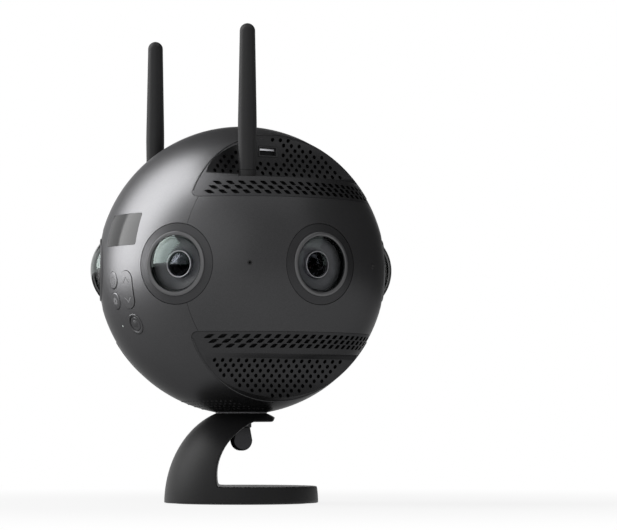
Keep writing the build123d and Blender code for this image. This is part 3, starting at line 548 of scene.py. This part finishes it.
# Vents: a band of slanted holes, a shelf and a wall of round holes
def rowPlaces(half, pitch, shift):
    count = int(half // pitch) + 1
    places = [shift + step * pitch for step in range(-count, count + 1)]
    return [place for place in places if abs(place) < half]


def ventHoles(withSocket):
    v = vents
    tools = []
    roundHole = move(rod("roundHole", v["holeRadius"], -v["holeDepth"], v["holeDepth"], v["holeSides"]),
        turned(pi / 2, "Y"))
    for row in range(v["rows"]):
        z = v["shelfZ"] + v["firstRow"] + row * v["rowPitch"]
        x = wallX(z)
        half = sqrt(ballRadius ** 2 - x ** 2 - z ** 2) - v["holeMargin"]
        for y in rowPlaces(half, v["holePitch"], v["holeShift"] + v["holePitch"] * (row % 2 / 2)):
            near = abs(y - socket["y"]) < socket["roomY"] and abs(z - socket["z"]) < socket["roomZ"]
            if withSocket and near:
                continue
            tools.append(move(copyOf(roundHole, "roundHole"), Matrix.Translation((x, y, z))))
    drop(roundHole)
    width, height, lean = v["bandWidth"] / 2, v["bandHeight"] / 2, v["bandLean"]
    outline = [(-width + lean, -height), (width + lean, -height), (width - lean, height),
        (-width - lean, height)]
    slanted = prism("slantedHole", outline, -v["bandDepth"], v["bandDepth"], "Z", radius=v["bandCorner"],
        segments=2)
    for row in range(v["bandRows"]):
        z = v["edgeZ"] + v["bandFirstRow"] + row * v["bandRowPitch"]
        x = slopedX(z, v["edgeX"], v["edgeZ"], v["topX"], v["topZ"])
        half = sqrt(ballRadius ** 2 - x ** 2 - z ** 2) - v["bandMargin"]
        for y in rowPlaces(half, v["bandPitch"], row * v["bandShift"]):
            place = Matrix.Translation((sqrt(ballRadius ** 2 - y ** 2 - z ** 2), y, z))
            tools.append(move(copyOf(slanted, "slantedHole"), place @ roundTurn(90)))
    drop(slanted)
    return tools


def makeVents():
    v = vents
    blank = ball("ventBlank", ballRadius)
    cut(blank, ventTool(whole["seam"]), operation="INTERSECT")
    cut(blank, pocketTool(0))
    hollow = cut(ball("hollow", ballRadius - v["wall"]), pocketTool(v["wall"]))
    cut(blank, hollow)
    # a fine raised lip along the leaning edge
    slope = Vector((v["edgeX"] - v["topX"], 0, v["edgeZ"] - v["topZ"])).normalized()
    across = Vector((-slope.z, 0, slope.x))
    if across.x < 0:
        across = -across
    level = across.dot(Vector((v["edgeX"], 0, v["edgeZ"]))) + v["lipInset"]
    bpy.ops.mesh.primitive_torus_add(major_radius=sqrt(ballRadius ** 2 - level ** 2),
        minor_radius=v["lipRadius"], major_segments=256, minor_segments=10)
    lip = move(bpy.context.object, Matrix.Translation(across * level)
        @ Vector((0, 0, 1)).rotation_difference(across).to_matrix().to_4x4())
    toEdit(lip)
    bpy.ops.mesh.bisect(plane_co=(0, 0, v["edgeZ"] + v["corner"]), plane_no=(0, 0, 1), use_fill=True,
        clear_inner=True)
    toObject()
    net = ball("net", ballRadius - v["wall"] - v["netGap"])
    cut(net, ventTool(-v["netReach"]), operation="INTERSECT")
    cut(net, pocketTool(v["wall"] + v["netGap"]))
    cut(net, cut(ball("hollow", ballRadius - v["wall"] - v["netGap"] - v["netWall"]),
            pocketTool(v["wall"] + v["netGap"] + v["netWall"])))
    plain = copyOf(blank, "plainVent")
    cut(plain, *ventHoles(False))
    cut(blank, *ventHoles(True))
    s = socket
    opening = rectangle(s["holeFrom"], s["holeTo"], s["z"] - s["holeHalfZ"], s["z"] + s["holeHalfZ"])
    cut(blank, prism("socketHole", opening, s["y"] - s["holeHalfY"], s["y"] + s["holeHalfY"]))
    made = {
        "upperRightVent": (blank, ()), "upperLeftVent": (plain, ((1, 0, 0),)),
        "lowerRightVent": (copyOf(plain, "lower"), ((0, 0, 1),)),
        "lowerLeftVent": (copyOf(plain, "lower"), ((0, 0, 1), (1, 0, 0)))}
    for name, (obj, flips) in made.items():
        obj.name = name
        edge, backing = copyOf(lip, name + "Lip"), copyOf(net, name + "Net")
        for axis in flips:
            for piece in (obj, edge, backing):
                mirrored(piece, axis)
        finish(obj, headPlace, "vent", "head", [nodeName(name)])
        roundShading(obj)
        finish(edge, headPlace, "body", "head")
        finish(backing, headPlace, "net", "head")
    drop(lip)
    drop(net)


makeVents()
print("vents made")


def makeSocket():
    s = socket
    wall, back = s["wall"], s["face"] - s["depth"]
    yLow, yHigh = s["y"] - s["width"] / 2, s["y"] + s["width"] / 2
    zLow, zHigh = s["z"] - s["height"] / 2, s["z"] + s["height"] / 2
    body = prism("wallSocket", rectangle(back, s["face"] + s["proud"], zLow, zHigh), yLow, yHigh)
    cut(body, prism("socketTool", rectangle(back + wall, s["holeTo"], zLow + wall, zHigh - wall),
            yLow + wall, yHigh - wall))
    change(body, "BEVEL", width=s["edge"], segments=2)
    finish(body, headPlace, "plastic", "head", ["wall_socket"])
    top = zHigh - s["barDrop"]
    bar = prism("socketBar", rectangle(back + wall, s["face"] - s["barSink"], top - s["barHeight"], top),
        yLow + s["barInset"], yHigh - s["barInset"])
    change(bar, "BEVEL", width=s["barEdge"], segments=2)
    finish(bar, headPlace, "silver", "head")


makeSocket()

# Lenses, drawn along Z with heights counted from the middle of the ball
lens = {
    "bezel": [(19.45, 68.5), (19.3, 68.72), (15.6, 69.5), (15.6, 68.0), (14.0, 68.0), (14.0, 63.0),
        (19.45, 63.0), (19.45, 68.5)],
    "ring": [(15.5, 68.1), (15.5, 69.7), (15.4, 69.9), (15.15, 70.1), (14.6, 70.2), (14.0, 70.2),
        (13.6, 70.1), (13.4, 69.8), (13.4, 67.6), (12.9, 67.6), (12.9, 67.0), (14.0, 67.0),
        (14.0, 68.1), (15.5, 68.1)],
    "funnel": [(14.0, 44.2), (14.0, 66.9), (12.9, 66.9), (12.7, 66.7), (6.75, 64.5), (6.75, 63.9),
        (12.4, 63.9), (12.4, 44.2), (14.0, 44.2)],
    "silverRing": [(6.05, 66.3), (6.15, 66.5), (6.4, 66.5), (6.55, 66.3), (6.55, 56.0), (4.6, 56.0),
        (4.6, 61.5), (6.05, 61.5), (6.05, 66.3)],
    "iris": [(6.0, 65.2), (5.4, 64.5), (5.2, 64.5), (4.5, 63.6), (4.3, 63.6), (3.5, 62.8), (3.3, 62.8),
        (2.5, 62.1), (2.5, 61.7), (6.0, 61.7), (6.0, 65.2)],
    "glassRadius": 13.35, "glassEdge": 70.1, "glassCurve": 21.0, "glassWall": 1.4, "glassFoot": 67.7,
    "skirtWall": 0.6, "innerRadius": 6.0, "innerLevel": 65.9, "innerCurve": 9.0, "innerWall": 0.8,
    "rearRadius": 2.6, "rearLevel": 62.2, "rearCurve": 3.8, "rearWall": 1.0}


def arc(radius, level, curve, steps, inner=0.0):
    # from the middle out to the rim of a dome whose rim is at this radius and level
    middle = level - sqrt(curve ** 2 - radius ** 2)
    end = asin(radius / curve)
    return [((curve - inner) * sin(end * i / steps), middle + (curve - inner) * cos(end * i / steps))
        for i in range(steps + 1)]


def makeLenses():
    front = (lens["glassRadius"], lens["glassEdge"], lens["glassCurve"])
    skirt = lens["glassRadius"] - lens["skirtWall"]
    glass = arc(*front, 20) + [(lens["glassRadius"], lens["glassFoot"]), (skirt, lens["glassFoot"])] + [
        point for point in reversed(arc(*front, 20, lens["glassWall"])) if point[0] < skirt]
    radius, level, curve, wall = (lens["inner" + key] for key in ("Radius", "Level", "Curve", "Wall"))
    back = arc(radius, level - wall, curve, 8, wall)
    element = arc(radius, level, curve, 12) + [(radius, back[-1][1])] + list(reversed(back))
    radius, level, curve, wall = (lens["rear" + key] for key in ("Radius", "Level", "Curve", "Wall"))
    rearDome = arc(radius, level, curve, 8) + [(radius, level - wall), (0, level - wall)]
    kinds = {
        "Bezel": (lens["bezel"], 128, "bezel", "bezel_metal", "{}_lens_bezel"),
        # the ring's finish is a lighter grey that paints a highlight on its raised edge
        "Ring": (lens["ring"], 128, "ring", "bezel_metal", None),
        "Glass": (glass, 96, "glass", "front_glass", "{}_lens_front_glass"),
        "Funnel": (lens["funnel"], 96, "funnel", "barrel_black", "{}_lens_barrel"),
        "SilverRing": (lens["silverRing"], 72, "silver", "silver_metal", "inner_lens_mounts"),
        "InnerGlass": (element, 64, "innerGlass", "inner_glass", "inner_lenses"),
        "Iris": (lens["iris"], 64, "plastic", "barrel_black", None),
        "RearGlass": (rearDome, 48, "rearGlass", "inner_glass", None)}
    for kind, (outline, steps, material, slot, node) in kinds.items():
        first = lathe(kind, outline, steps)
        for name, angle in lenses["angles"].items():
            title = "".join(word.capitalize() for word in name.split("_"))
            obj = copyOf(first, "lens" + title + kind)
            nodes = [node.format(name)] if node else ()
            finish(obj, headPlace @ roundTurn(angle), material, "head", nodes, 30)
        drop(first)


makeLenses()
print("lenses made")


# Display, buttons, lamp and microphones
caps = {"edge": 0.3, "domeSteps": 10, "domeShare": 0.93, "softening": 0.08, "edgeShare": 0.6, "flange": 0.35,
    "flangeTop": 68.2, "flangeLow": 67.3, "stem": 1.6, "stemLow": 66.7,
    # the shutter button's face, in radius and rise
    "shutterFace": [(0, -0.16), (1.7, -0.2), (1.9, -0.3), (2.1, -0.3), (2.3, -0.24), (3.3, -0.3),
        (3.5, -0.55), (3.9, -0.55), (4.1, -0.12), (4.4, 0.0), (4.9, 0.0)]}
# generic marks: a broken ring with a bar, a toothed wheel, two chevrons
marks = {"depth": 0.2, "rise": 0.04, "outerRise": 0.03, "powerRing": (1.5, 1.95), "wheelRing": (0.7, 1.45),
    "notch": (-0.6, 0.6, 0.8, 2.4), "bar": (-0.22, 0.22, 0.6, 2.2), "tooth": (-0.26, 0.26, 1.4, 1.95),
    "teeth": 8, "chevronX": 6.6, "chevronDepth": 0.25,
    "chevrons": (("upMark", -6.7, 1), ("downMark", -16.6, -1)),
    "chevron": [(-2.5, -1.3), (0, 1.3), (2.5, -1.3), (2.1, -1.65), (0, 0.55), (-2.1, -1.65)],
    "arrow": [(-1.5, 0.7), (0, -0.9), (1.5, 0.7), (1.1, 1.05), (0, -0.2), (-1.1, 1.05)]}


def ballLevel(radius, rise=0.0):
    return sqrt((ballRadius + rise) ** 2 - radius ** 2)


def makeDisplay():
    cover = ball("displayWindow", ballRadius)
    half = screen["halfWidth"] - screen["gap"]
    window = rectangle(-half, half, screen["lowZ"] + screen["gap"], screen["highZ"] - screen["gap"])
    cut(cover, prism("coverTool", window, screen["front"], screen["back"], radius=screen["corner"]),
        operation="INTERSECT")
    cut(cover, ball("inside", ballRadius - screen["cover"]))
    finish(cover, headPlace, "display", "head", ["display_window"])
    roundShading(cover)


def capOutline(radius, rise, face=None):
    # a domed cap, or one with its own face, with its flange and stem
    c = caps
    steps = c["domeSteps"]
    dome = [(radius * i / steps * c["domeShare"], 0) for i in range(steps + 1)]
    rim, flange = ballLevel(radius, rise) - c["edge"], radius + c["flange"]
    return [(r, ballLevel(r, rise) + lift) for r, lift in face or dome] + [
        (radius - c["softening"], rim + c["edge"] * c["edgeShare"]), (radius, rim), (radius, c["flangeTop"]),
        (flange, c["flangeTop"]), (flange, c["flangeLow"]), (c["stem"], c["flangeLow"]),
        (c["stem"], c["stemLow"]), (0, c["stemLow"])]


def markRing(name, radii, top, steps):
    low, (inner, outer) = top - marks["depth"], radii
    return lathe(name, [(inner, low), (inner, top + marks["rise"]), (outer, top + marks["outerRise"]),
            (outer, low), (inner, low)], steps)


def makeGlyph(name, parts, place, body):
    mark = joined(*parts)
    mark.name = name
    finish(mark, headPlace @ place, "print", body)


def makeButtons():
    c, m = controls, marks
    rise = c["rise"]
    top = ballRadius + rise
    for name, key in (("powerButton", "power"), ("settingsButton", "settings")):
        body = nodeName(name)
        cap = lathe(name, capOutline(c["roundRadius"], rise), 64)
        finish(cap, headPlace @ outward(*c[key]), "button", body, [body], 50)
    cap = lathe("shutterButton", capOutline(c["shutterRadius"], rise, caps["shutterFace"]), 64)
    finish(cap, headPlace @ outward(*c["shutter"]), "button", "shutter_button",
        ["shutter_button"], 40)
    slot = slotOutline(c["rockerLength"], c["rockerWidth"])
    rocker = prism("rockerButton", slot, c["rockerLow"], c["rockerHigh"], "Z")
    move(rocker, outward(*c["rocker"]))
    cut(rocker, ball("rockerTop", top), operation="INTERSECT")
    finish(rocker, headPlace, "button", "rocker", ["rocker_button"], 50)
    low, high = top - m["depth"], top + m["rise"]
    ring = markRing("ring", m["powerRing"], top, 48)
    cut(ring, prism("notch", rectangle(*m["notch"]), top - 1, top + 1, "Z"))
    bar = prism("bar", rectangle(*m["bar"]), low, high, "Z")
    makeGlyph("powerMark", [bar, ring], outward(*c["power"]), "power_button")
    wheel = [markRing("wheel", m["wheelRing"], top, 40)]
    for step in range(m["teeth"]):
        tooth = prism("tooth", rectangle(*m["tooth"]), low, top + m["outerRise"], "Z")
        wheel.append(move(tooth, turned(step * 2 * pi / m["teeth"])))
    makeGlyph("settingsMark", wheel, outward(*c["settings"]), "settings_button")
    for name, z, flip in m["chevrons"]:
        part = prism(name, [(x, y * flip) for x, y in m["chevron"]], top - m["chevronDepth"], high, "Z")
        makeGlyph(name, [part], outward(m["chevronX"], z), "rocker")
    lamp = lathe("statusLamp", c["lampOutline"], 24)
    finish(lamp, headPlace @ outward(*c["lamp"]), "lamp", "head", ["status_lamp"])


def makeMicrophones():
    mic = lathe("microphone", microphones["outline"], 32)
    for index, angle in enumerate(microphones["angles"]):
        finish(copyOf(mic, f"microphone{index + 1}"), headPlace @ roundTurn(angle), "microphone", "head",
            ["microphones"])
    drop(mic)


makeDisplay()
makeButtons()
makeMicrophones()
print("controls made")

# Aerials on the shelves of the upper vents
aerials = {"angle": 60.0, "distance": 48.9, "foot": 42.3, "top": 117.0, "tip": 3.75, "middle": 4.57,
    "middleZ": 66.0, "base": 4.2, "tipSteps": 10,
    # steps in radius and height: at the foot, about the middle and below the tip
    "collar": [(-0.3, 0), (0, 0.3), (0.02, 3.0), (-0.12, 3.15), (-0.12, 3.4), (0.04, 3.55)],
    "swell": [(-0.05, -3), (0, 0), (-0.03, 4)], "neck": [(0.02, -2), (0, 0)]}


def makeAerials():
    a = aerials
    tipZ, angle = a["top"] - a["tip"], radians(a["angle"])
    outline = [(0, a["foot"])]
    for radius, z, steps in ((a["base"], a["foot"], a["collar"]), (a["middle"], a["middleZ"], a["swell"]),
            (a["tip"], tipZ, a["neck"])):
        outline += [(radius + wider, z + higher) for wider, higher in steps]
    turns = [pi / 2 * i / a["tipSteps"] for i in range(1, a["tipSteps"] + 1)]
    outline += [(a["tip"] * cos(turn), tipZ + a["tip"] * sin(turn)) for turn in turns]
    mast = lathe("mast", outline, 64)
    for name, side in (("rightAerial", 1), ("leftAerial", -1)):
        x, y = side * a["distance"] * sin(angle), -a["distance"] * cos(angle)
        finish(copyOf(mast, name), headPlace @ Matrix.Translation((x, y, 0)), "aerial", nodeName(name),
            [nodeName(name)])
    drop(mast)


makeAerials()

# Small studs on the front of the ball's underside
studs = {"rows": (29.5, 26.3, 23.1, 19.3), "pitch": 2.4, "halfWidth": 21.5, "radius": 0.5,
    "flatness": 0.5, "sink": 0.08}


def makeStuds():
    bpy.ops.mesh.primitive_uv_sphere_add(segments=10, ring_count=6, radius=studs["radius"])
    stud = move(bpy.context.object, Matrix.Scale(studs["flatness"], 4, (0, 0, 1)))
    parts = []
    for row, distance in enumerate(studs["rows"]):
        tilt = pi - asin(distance / ballRadius)
        turn = studs["pitch"] / distance
        count = int(asin(min(1, studs["halfWidth"] / distance)) / turn)
        for step in range(-count, count + 1):
            place = (turned((step + row % 2 / 2) * turn) @ turned(tilt, "X")
                @ Matrix.Translation((0, 0, ballRadius - studs["sink"])))
            parts.append(move(copyOf(stud, "stud"), place))
    drop(stud)
    obj = joined(*parts)
    obj.name = "undersideStuds"
    finish(obj, headPlace, "body", "head", (), 60)


makeStuds()
print("aerials and studs made")

# Stand: an egg-shaped dome with a throat cut through it
stand = {"radius": 38.1, "curve": 47.2, "top": 44.4, "footTop": 8.6, "footRise": 0.3, "throatX": 26.0,
    "throatZ": 13.8, "throatHalf": 38.0, "throatHeight": 31.0, "fillet": 4.0, "plateUnder": 40.2,
    "tipX": 16.6, "tipZ": 42.3, "tipLowX": 15.7, "tipOverlap": 0.1,
    "well": 6.4, "wellFloor": 3, "bore": 3.3, "boreTop": 50, "reach": 60, "throatSteps": 40, "sideSteps": 32,
    "voxel": 0.55, "smoothing": {"factor": 0.5, "iterations": 4}}


def throatEdge(z):
    s = stand
    return s["throatX"] - s["throatHalf"] * sqrt(1 - ((z - s["throatZ"]) / s["throatHeight"]) ** 2)


def throatOutline():
    s = stand
    low, high, reach = s["footTop"], s["plateUnder"], s["reach"]
    turns = [pi * 1.5 - pi * i / s["throatSteps"] for i in range(s["throatSteps"] + 1)]
    left = [(s["throatX"] + s["throatHalf"] * cos(turn), s["throatZ"] + s["throatHeight"] * sin(turn))
        for turn in turns]
    return ([(reach, low), (throatEdge(low), low)] + [(x, z) for x, z in left if low < z < high]
        + [(throatEdge(high), high), (reach, high)])


def makeStand():
    s = stand
    reach, under, floor = s["reach"], s["plateUnder"], s["footTop"] + s["wellFloor"]
    top, steps = asin(s["top"] / s["curve"]), s["sideSteps"]
    turns = [top * i / steps for i in range(steps + 1)]
    side = [(s["radius"] * cos(turn), s["curve"] * sin(turn)) for turn in turns]
    side[0] = (s["radius"], s["footRise"])
    body = lathe("standBody", [(0, s["footRise"])] + side + [(0, s["top"])], 160)
    corner = (throatEdge(s["footTop"]), s["footTop"])
    cut(body, prism("throat", throatOutline(), -reach, reach, corners=[corner], radius=s["fillet"]))
    low = under - s["tipOverlap"]
    tip = [(s["tipLowX"], low), (s["tipX"], s["tipZ"]), (reach, s["tipZ"]), (reach, low)]
    cut(body, prism("tip", tip, -reach, reach))
    cut(body, rod("well", s["well"], floor, under, 64))
    cut(body, rod("bore", s["bore"], floor, s["boreTop"], 48))
    change(body, "REMESH", mode="VOXEL", voxel_size=s["voxel"], adaptivity=0.0)
    change(body, "SMOOTH", **s["smoothing"])
    finish(body, standPlace, "stand", "stand", ["stand_body"], 60)


makeStand()

# Thumbscrew with its paddle, and the stand's pads
thumb = {"radius": 5.2, "low": 26.0, "neckHalf": 3.9, "neckZ": 38.0, "thickness": 4.6, "bevel": 0.75,
    "bevelFrom": 50, "angle": 25.0, "collar": 5.0, "collarLow": 37.4, "collarTop": 40.0, "edge": 0.3,
    "shank": 3.14, "shankTop": 51.9, "steps": 28}
pads = {"top": [(3.3, 44.4), (12.7, 44.4), (12.9, 44.5), (12.9, 44.75), (12.75, 44.85), (3.3, 44.85),
        (3.3, 44.4)],
    "foot": [(0, 0.25), (25, 0.25), (25.5, 0), (32.6, 0), (33, 0.3), (33, 1.5), (0, 1.5)]}


def makeThumbscrew():
    t = thumb
    middle, half = t["low"] + t["radius"], t["thickness"] / 2
    turns = [pi + pi * i / t["steps"] for i in range(t["steps"] + 1)]
    around = [(t["radius"] * cos(turn), middle + t["radius"] * sin(turn)) for turn in turns]
    neck = [(t["neckHalf"], t["neckZ"]), (-t["neckHalf"], t["neckZ"])]
    paddle = prism("thumbscrew", around + neck, -half, half)
    change(paddle, "BEVEL", width=t["bevel"], segments=4, limit_method="ANGLE",
        angle_limit=radians(t["bevelFrom"]))
    move(paddle, turned(radians(t["angle"])))
    radius, low, high, edge = t["collar"], t["collarLow"], t["collarTop"], t["edge"]
    collar = lathe("collar", [(0, low), (radius - edge, low), (radius, low + edge), (radius, high - edge),
            (radius - edge, high), (t["shank"], high), (t["shank"], t["shankTop"]),
            (0, t["shankTop"])], 64)
    cut(paddle, collar, operation="UNION")
    finish(paddle, standPlace, "paddle", "thumbscrew", ["thumbscrew"], 40)


makeThumbscrew()


def makePads():
    pad = lathe("standTopPad", pads["top"], 96)
    finish(pad, standPlace, "pad", "stand", ["stand_top_pad"])
    foot = lathe("standFootPad", pads["foot"], 96)
    finish(foot, standPlace, "foot", "stand", ["stand_foot_pad"])


makePads()
print("stand made")


# Battery and its release, at the rear
grips = {"count": 5, "low": -43.5, "pitch": 2.2, "halfWidth": 11, "halfHeight": 0.45, "depth": 3.2,
    "beyond": 5, "corner": 0.4}
levels = {"count": 4, "first": -4.5, "pitch": 3.0, "z": -28.5,
    "outline": [(0, 71.56), (0.5, 71.53), (0.65, 71.4), (0.65, 70.8), (0, 70.8)]}


def makeBattery():
    r = rear
    block = prism("battery", rectangle(-r["batteryHalf"], r["batteryHalf"], r["batteryLow"], r["batteryTop"]),
        r["batteryFront"], r["outside"], radius=r["edge"])
    cut(block, ball("outside", ballRadius), operation="INTERSECT")
    g, tools = grips, []
    for row in range(g["count"]):
        z = g["low"] + row * g["pitch"]
        y = sqrt(ballRadius ** 2 - z ** 2)
        outline = rectangle(-g["halfWidth"], g["halfWidth"], z - g["halfHeight"], z + g["halfHeight"])
        tools.append(prism("grip", outline, y - g["depth"], y + g["beyond"], radius=g["corner"], segments=3))
    cut(block, *tools)
    finish(block, headPlace, "battery", "battery", ["battery"])
    roundShading(block)
    for index in range(levels["count"]):
        place = headPlace @ behind @ outward(levels["first"] + index * levels["pitch"], levels["z"])
        light = lathe(f"batteryLevel{index + 1}", levels["outline"], 20)
        finish(light, place, "print", "battery")


def makeRelease():
    cap = lathe("batteryRelease", capOutline(rear["releaseRadius"], controls["rise"]), 64)
    place = behind @ outward(0, rear["releaseZ"])
    finish(cap, headPlace @ place, "button", "battery_release",
        ["battery_release_button"], 50)
    top = ballRadius + controls["rise"]
    arrow = prism("releaseMark", marks["arrow"], top - marks["depth"], top + marks["outerRise"], "Z")
    finish(arrow, headPlace @ place, "print", "battery_release")


makeBattery()
makeRelease()

# Bent sheet metal liners in the rear sockets, whose places are x, z, width and height
sockets = {"video": (-5.0, 22.4, 14.0, 4.5), "bus": (8.6, 22.4, 9.0, 3.2), "card": (-4.5, 15.6, 16.0, 2.4)}
# inset, low and high end and corner radius of a liner's outside and of its hollow
linerOuter, linerInner = (0.02, 55.6, 62.35, 0.5), (0.3, 55.0, 64.0, 0.35)


def linerBlock(name, place, inset, low, high, corner):
    x, z, width, height = place
    halfX, halfZ = width / 2 - inset, height / 2 - inset
    outline = rectangle(x - halfX, x + halfX, z - halfZ, z + halfZ)
    return prism(name, outline, low, high, radius=corner, segments=4)


def makeSocketLiners():
    for name, place in sockets.items():
        liner = linerBlock(name + "Liner", place, *linerOuter)
        cut(liner, linerBlock("linerTool", place, *linerInner))
        finish(liner, headPlace, "silver", "head")


makeSocketLiners()
print("rear made")

# CAD nodes that stay as they are
kept = {"base": ["base_plate"], "brass": ["tripod_insert", "aerial_connectors"],
    "steel": ["base_screws", "module_screws"], "board": ["sensor_boards", "main_board", "button_board"],
    "cast": ["core_frame", "heat_sink"], "panel": ["display_module"],
    "plastic": ["fan_housing", "fan_rotor", "battery_bay", "rear_port_panel"]}
for key, names in kept.items():
    for name in names:
        dress(frame["nodes"][name], key)

# Studio: white floor, soft lamps, grey cards that the camera doesn't see
studio = {"floorHalf": 6.0, "world": 0.12, "floorSpan": (0.1, 0.45), "floorShare": (0.86, 1.0),
    # name, direction, distance, width, height, radiance, and the finishes that it lights or leaves
    "lamps": (
        ("keySoftbox", (-102, 31), 1.3, 1.1, 1.9, 15.5, "INCLUDE",
            ("body", "vent", "button", "bezel", "silver")),
        ("sideSoftbox", (-98, 35), 1.3, 0.9, 1.4, 2.6, "EXCLUDE",
            ("body", "vent", "button", "bezel", "silver", "glass", "innerGlass")),
        ("lensSoftbox", (-88, 32), 1.3, 1.35, 1.4, 9.0, "INCLUDE", ("glass", "innerGlass")),
        ("frontSoftbox", (-20, 20), 1.6, 1.2, 1.2, 0.6, None, ())),
    # name, direction, distance, width, height, radiance
    "cards": (
        ("rightCard", (112, 4), 1.2, 2.7, 2.8, 0.26),
        ("rearCard", (175, 45), 1.3, 2.4, 1.2, 0.08),
        ("frontCard", (10, 0), 2.4, 5.0, 5.0, 0.65))}


def paperFinish():
    # white paper that shines of itself for the camera, but less near the object, to keep the shadow
    material = bpy.data.materials.new("whiteBackgroundPaper")
    tree = emptyTree(material)
    coords = addNode(tree, "TexCoord").outputs["Object"]
    fibre = addNode(tree, "TexNoise", {"Vector": coords, "Scale": 400.0})
    colour = addNode(tree, "Mix", {0: fibre.outputs[0], 6: linear("#f4f4f4"), 7: linear("#fbfbfb")},
        data_type="RGBA")
    paper = addNode(tree, "BsdfDiffuse", {"Color": colour.outputs[2]})
    glow = addNode(tree, "Emission", {"Color": (1, 1, 1, 1), "Strength": 1.0})
    away = addNode(tree, "VectorMath", {0: coords}, operation="LENGTH")
    share = ranged(tree, away.outputs["Value"], studio["floorSpan"], studio["floorShare"],
        interpolation_type="SMOOTHSTEP")
    share = addNode(tree, "Math", {0: seenRay(tree), 1: share}, operation="MULTIPLY")
    mix = addNode(tree, "MixShader", {0: share.outputs[0], 1: paper.outputs[0], 2: glow.outputs[0]})
    addNode(tree, "OutputMaterial", {"Surface": mix.outputs[0]})
    return material


def seenRay(tree):
    # 1 for a ray by which the camera, a metal or a glass sees the surface
    path = addNode(tree, "LightPath")
    seen = addNode(tree, "Math", {0: path.outputs["Is Camera Ray"], 1: path.outputs["Is Glossy Ray"]},
        operation="MAXIMUM")
    return addNode(tree, "Math", {0: seen.outputs[0], 1: path.outputs["Is Transmission Ray"]},
        operation="MAXIMUM").outputs[0]


def makeFloor():
    deselect()
    bpy.ops.mesh.primitive_plane_add(size=2 * studio["floorHalf"])
    floor = bpy.context.object
    floor.name = "floor"
    floor.data.materials.append(paperFinish())
    lights(floor, "EXCLUDE", ("glass", "innerGlass"))


def facing(direction, distance):
    # a place at this distance from the ball, turned so that -Z looks at it
    towards = Vector(aimed(*direction))
    return ballMiddle + towards * distance, towards.to_track_quat("Z", "Y").to_euler()


def softbox(name, direction, distance, width, height, radiance, state, keys):
    # a soft lamp, as bright as its radiance, for all or some of the pieces
    data = bpy.data.lights.new(name, "AREA")
    data.shape = "RECTANGLE"
    data.size, data.size_y = width, height
    data.energy = radiance * pi * width * height
    lamp = bpy.data.objects.new(name, data)
    bpy.context.scene.collection.objects.link(lamp)
    lamp.location, lamp.rotation_euler = facing(direction, distance)
    lamp.visible_camera = False
    if state:
        lights(lamp, state, keys)


def lights(source, state, keys):
    # the source lights only the pieces of these finishes, or leaves them out
    receivers = bpy.data.collections.new(source.name + "Receivers")
    chosen = [finishes[key] for key in keys]
    for obj in bpy.data.objects:
        if obj.type == "MESH" and obj.data.materials and obj.data.materials[0] in chosen:
            receivers.objects.link(obj)
    source.light_linking.receiver_collection = receivers
    for link in receivers.collection_objects:
        link.light_linking.link_state = state


def greyCard(name, direction, distance, width, height, radiance):
    deselect()
    bpy.ops.mesh.primitive_plane_add(size=1)
    card = bpy.context.object
    card.name = name
    card.scale = (width, height, 1)
    card.location, card.rotation_euler = facing(direction, distance)
    grey = bpy.data.materials.new(name + "Grey")
    tree = emptyTree(grey)
    face = addNode(tree, "Emission", {"Color": (radiance, radiance, radiance, 1)})
    addNode(tree, "OutputMaterial", {"Surface": face.outputs[0]})
    card.data.materials.append(grey)
    card.visible_camera = card.visible_shadow = False
    lights(card, "EXCLUDE", ("glass", "innerGlass"))


def aimed(azimuth, elevation):
    # azimuth 0 is towards the camera, 90 to its right
    a, e = radians(azimuth), radians(elevation)
    return (sin(a) * cos(e), -cos(a) * cos(e), sin(e))


def makeStudio():
    world = bpy.data.worlds.new("studioWorld")
    bpy.context.scene.world = world
    tree = emptyTree(world)
    strength = ranged(tree, seenRay(tree), (0, 1), (studio["world"], 1))
    back = addNode(tree, "Background", {"Color": (1, 1, 1, 1), "Strength": strength})
    addNode(tree, "OutputWorld", {"Surface": back.outputs[0]})
    for lamp in studio["lamps"]:
        softbox(*lamp)
    for card in studio["cards"]:
        greyCard(*card)


makeFloor()
makeStudio()

# Camera at the photograph's place
view = {"place": (0, -1.498, 0.0342), "lens": 176.1, "sensor": 36.0, "frame": (617, 530),
    "ballAt": (241.5, 270.7)}


def makeCamera():
    data = bpy.data.cameras.new("photoCamera")
    camera = bpy.data.objects.new("photoCamera", data)
    bpy.context.scene.collection.objects.link(camera)
    bpy.context.scene.camera = camera
    data.lens, data.sensor_width = view["lens"], view["sensor"]
    camera.location = view["place"]
    away = (ballMiddle - camera.location).length
    pixels = view["lens"] / view["sensor"] * view["frame"][0]
    right = (view["frame"][0] / 2 - view["ballAt"][0]) / pixels * away
    up = (view["ballAt"][1] - view["frame"][1] / 2) / pixels * away
    target = ballMiddle + Vector((right, 0, up))
    camera.rotation_euler = (target - camera.location).to_track_quat("-Z", "Y").to_euler()


makeCamera()
bpy.context.scene.view_settings.view_transform = "Standard"
print("studio made")
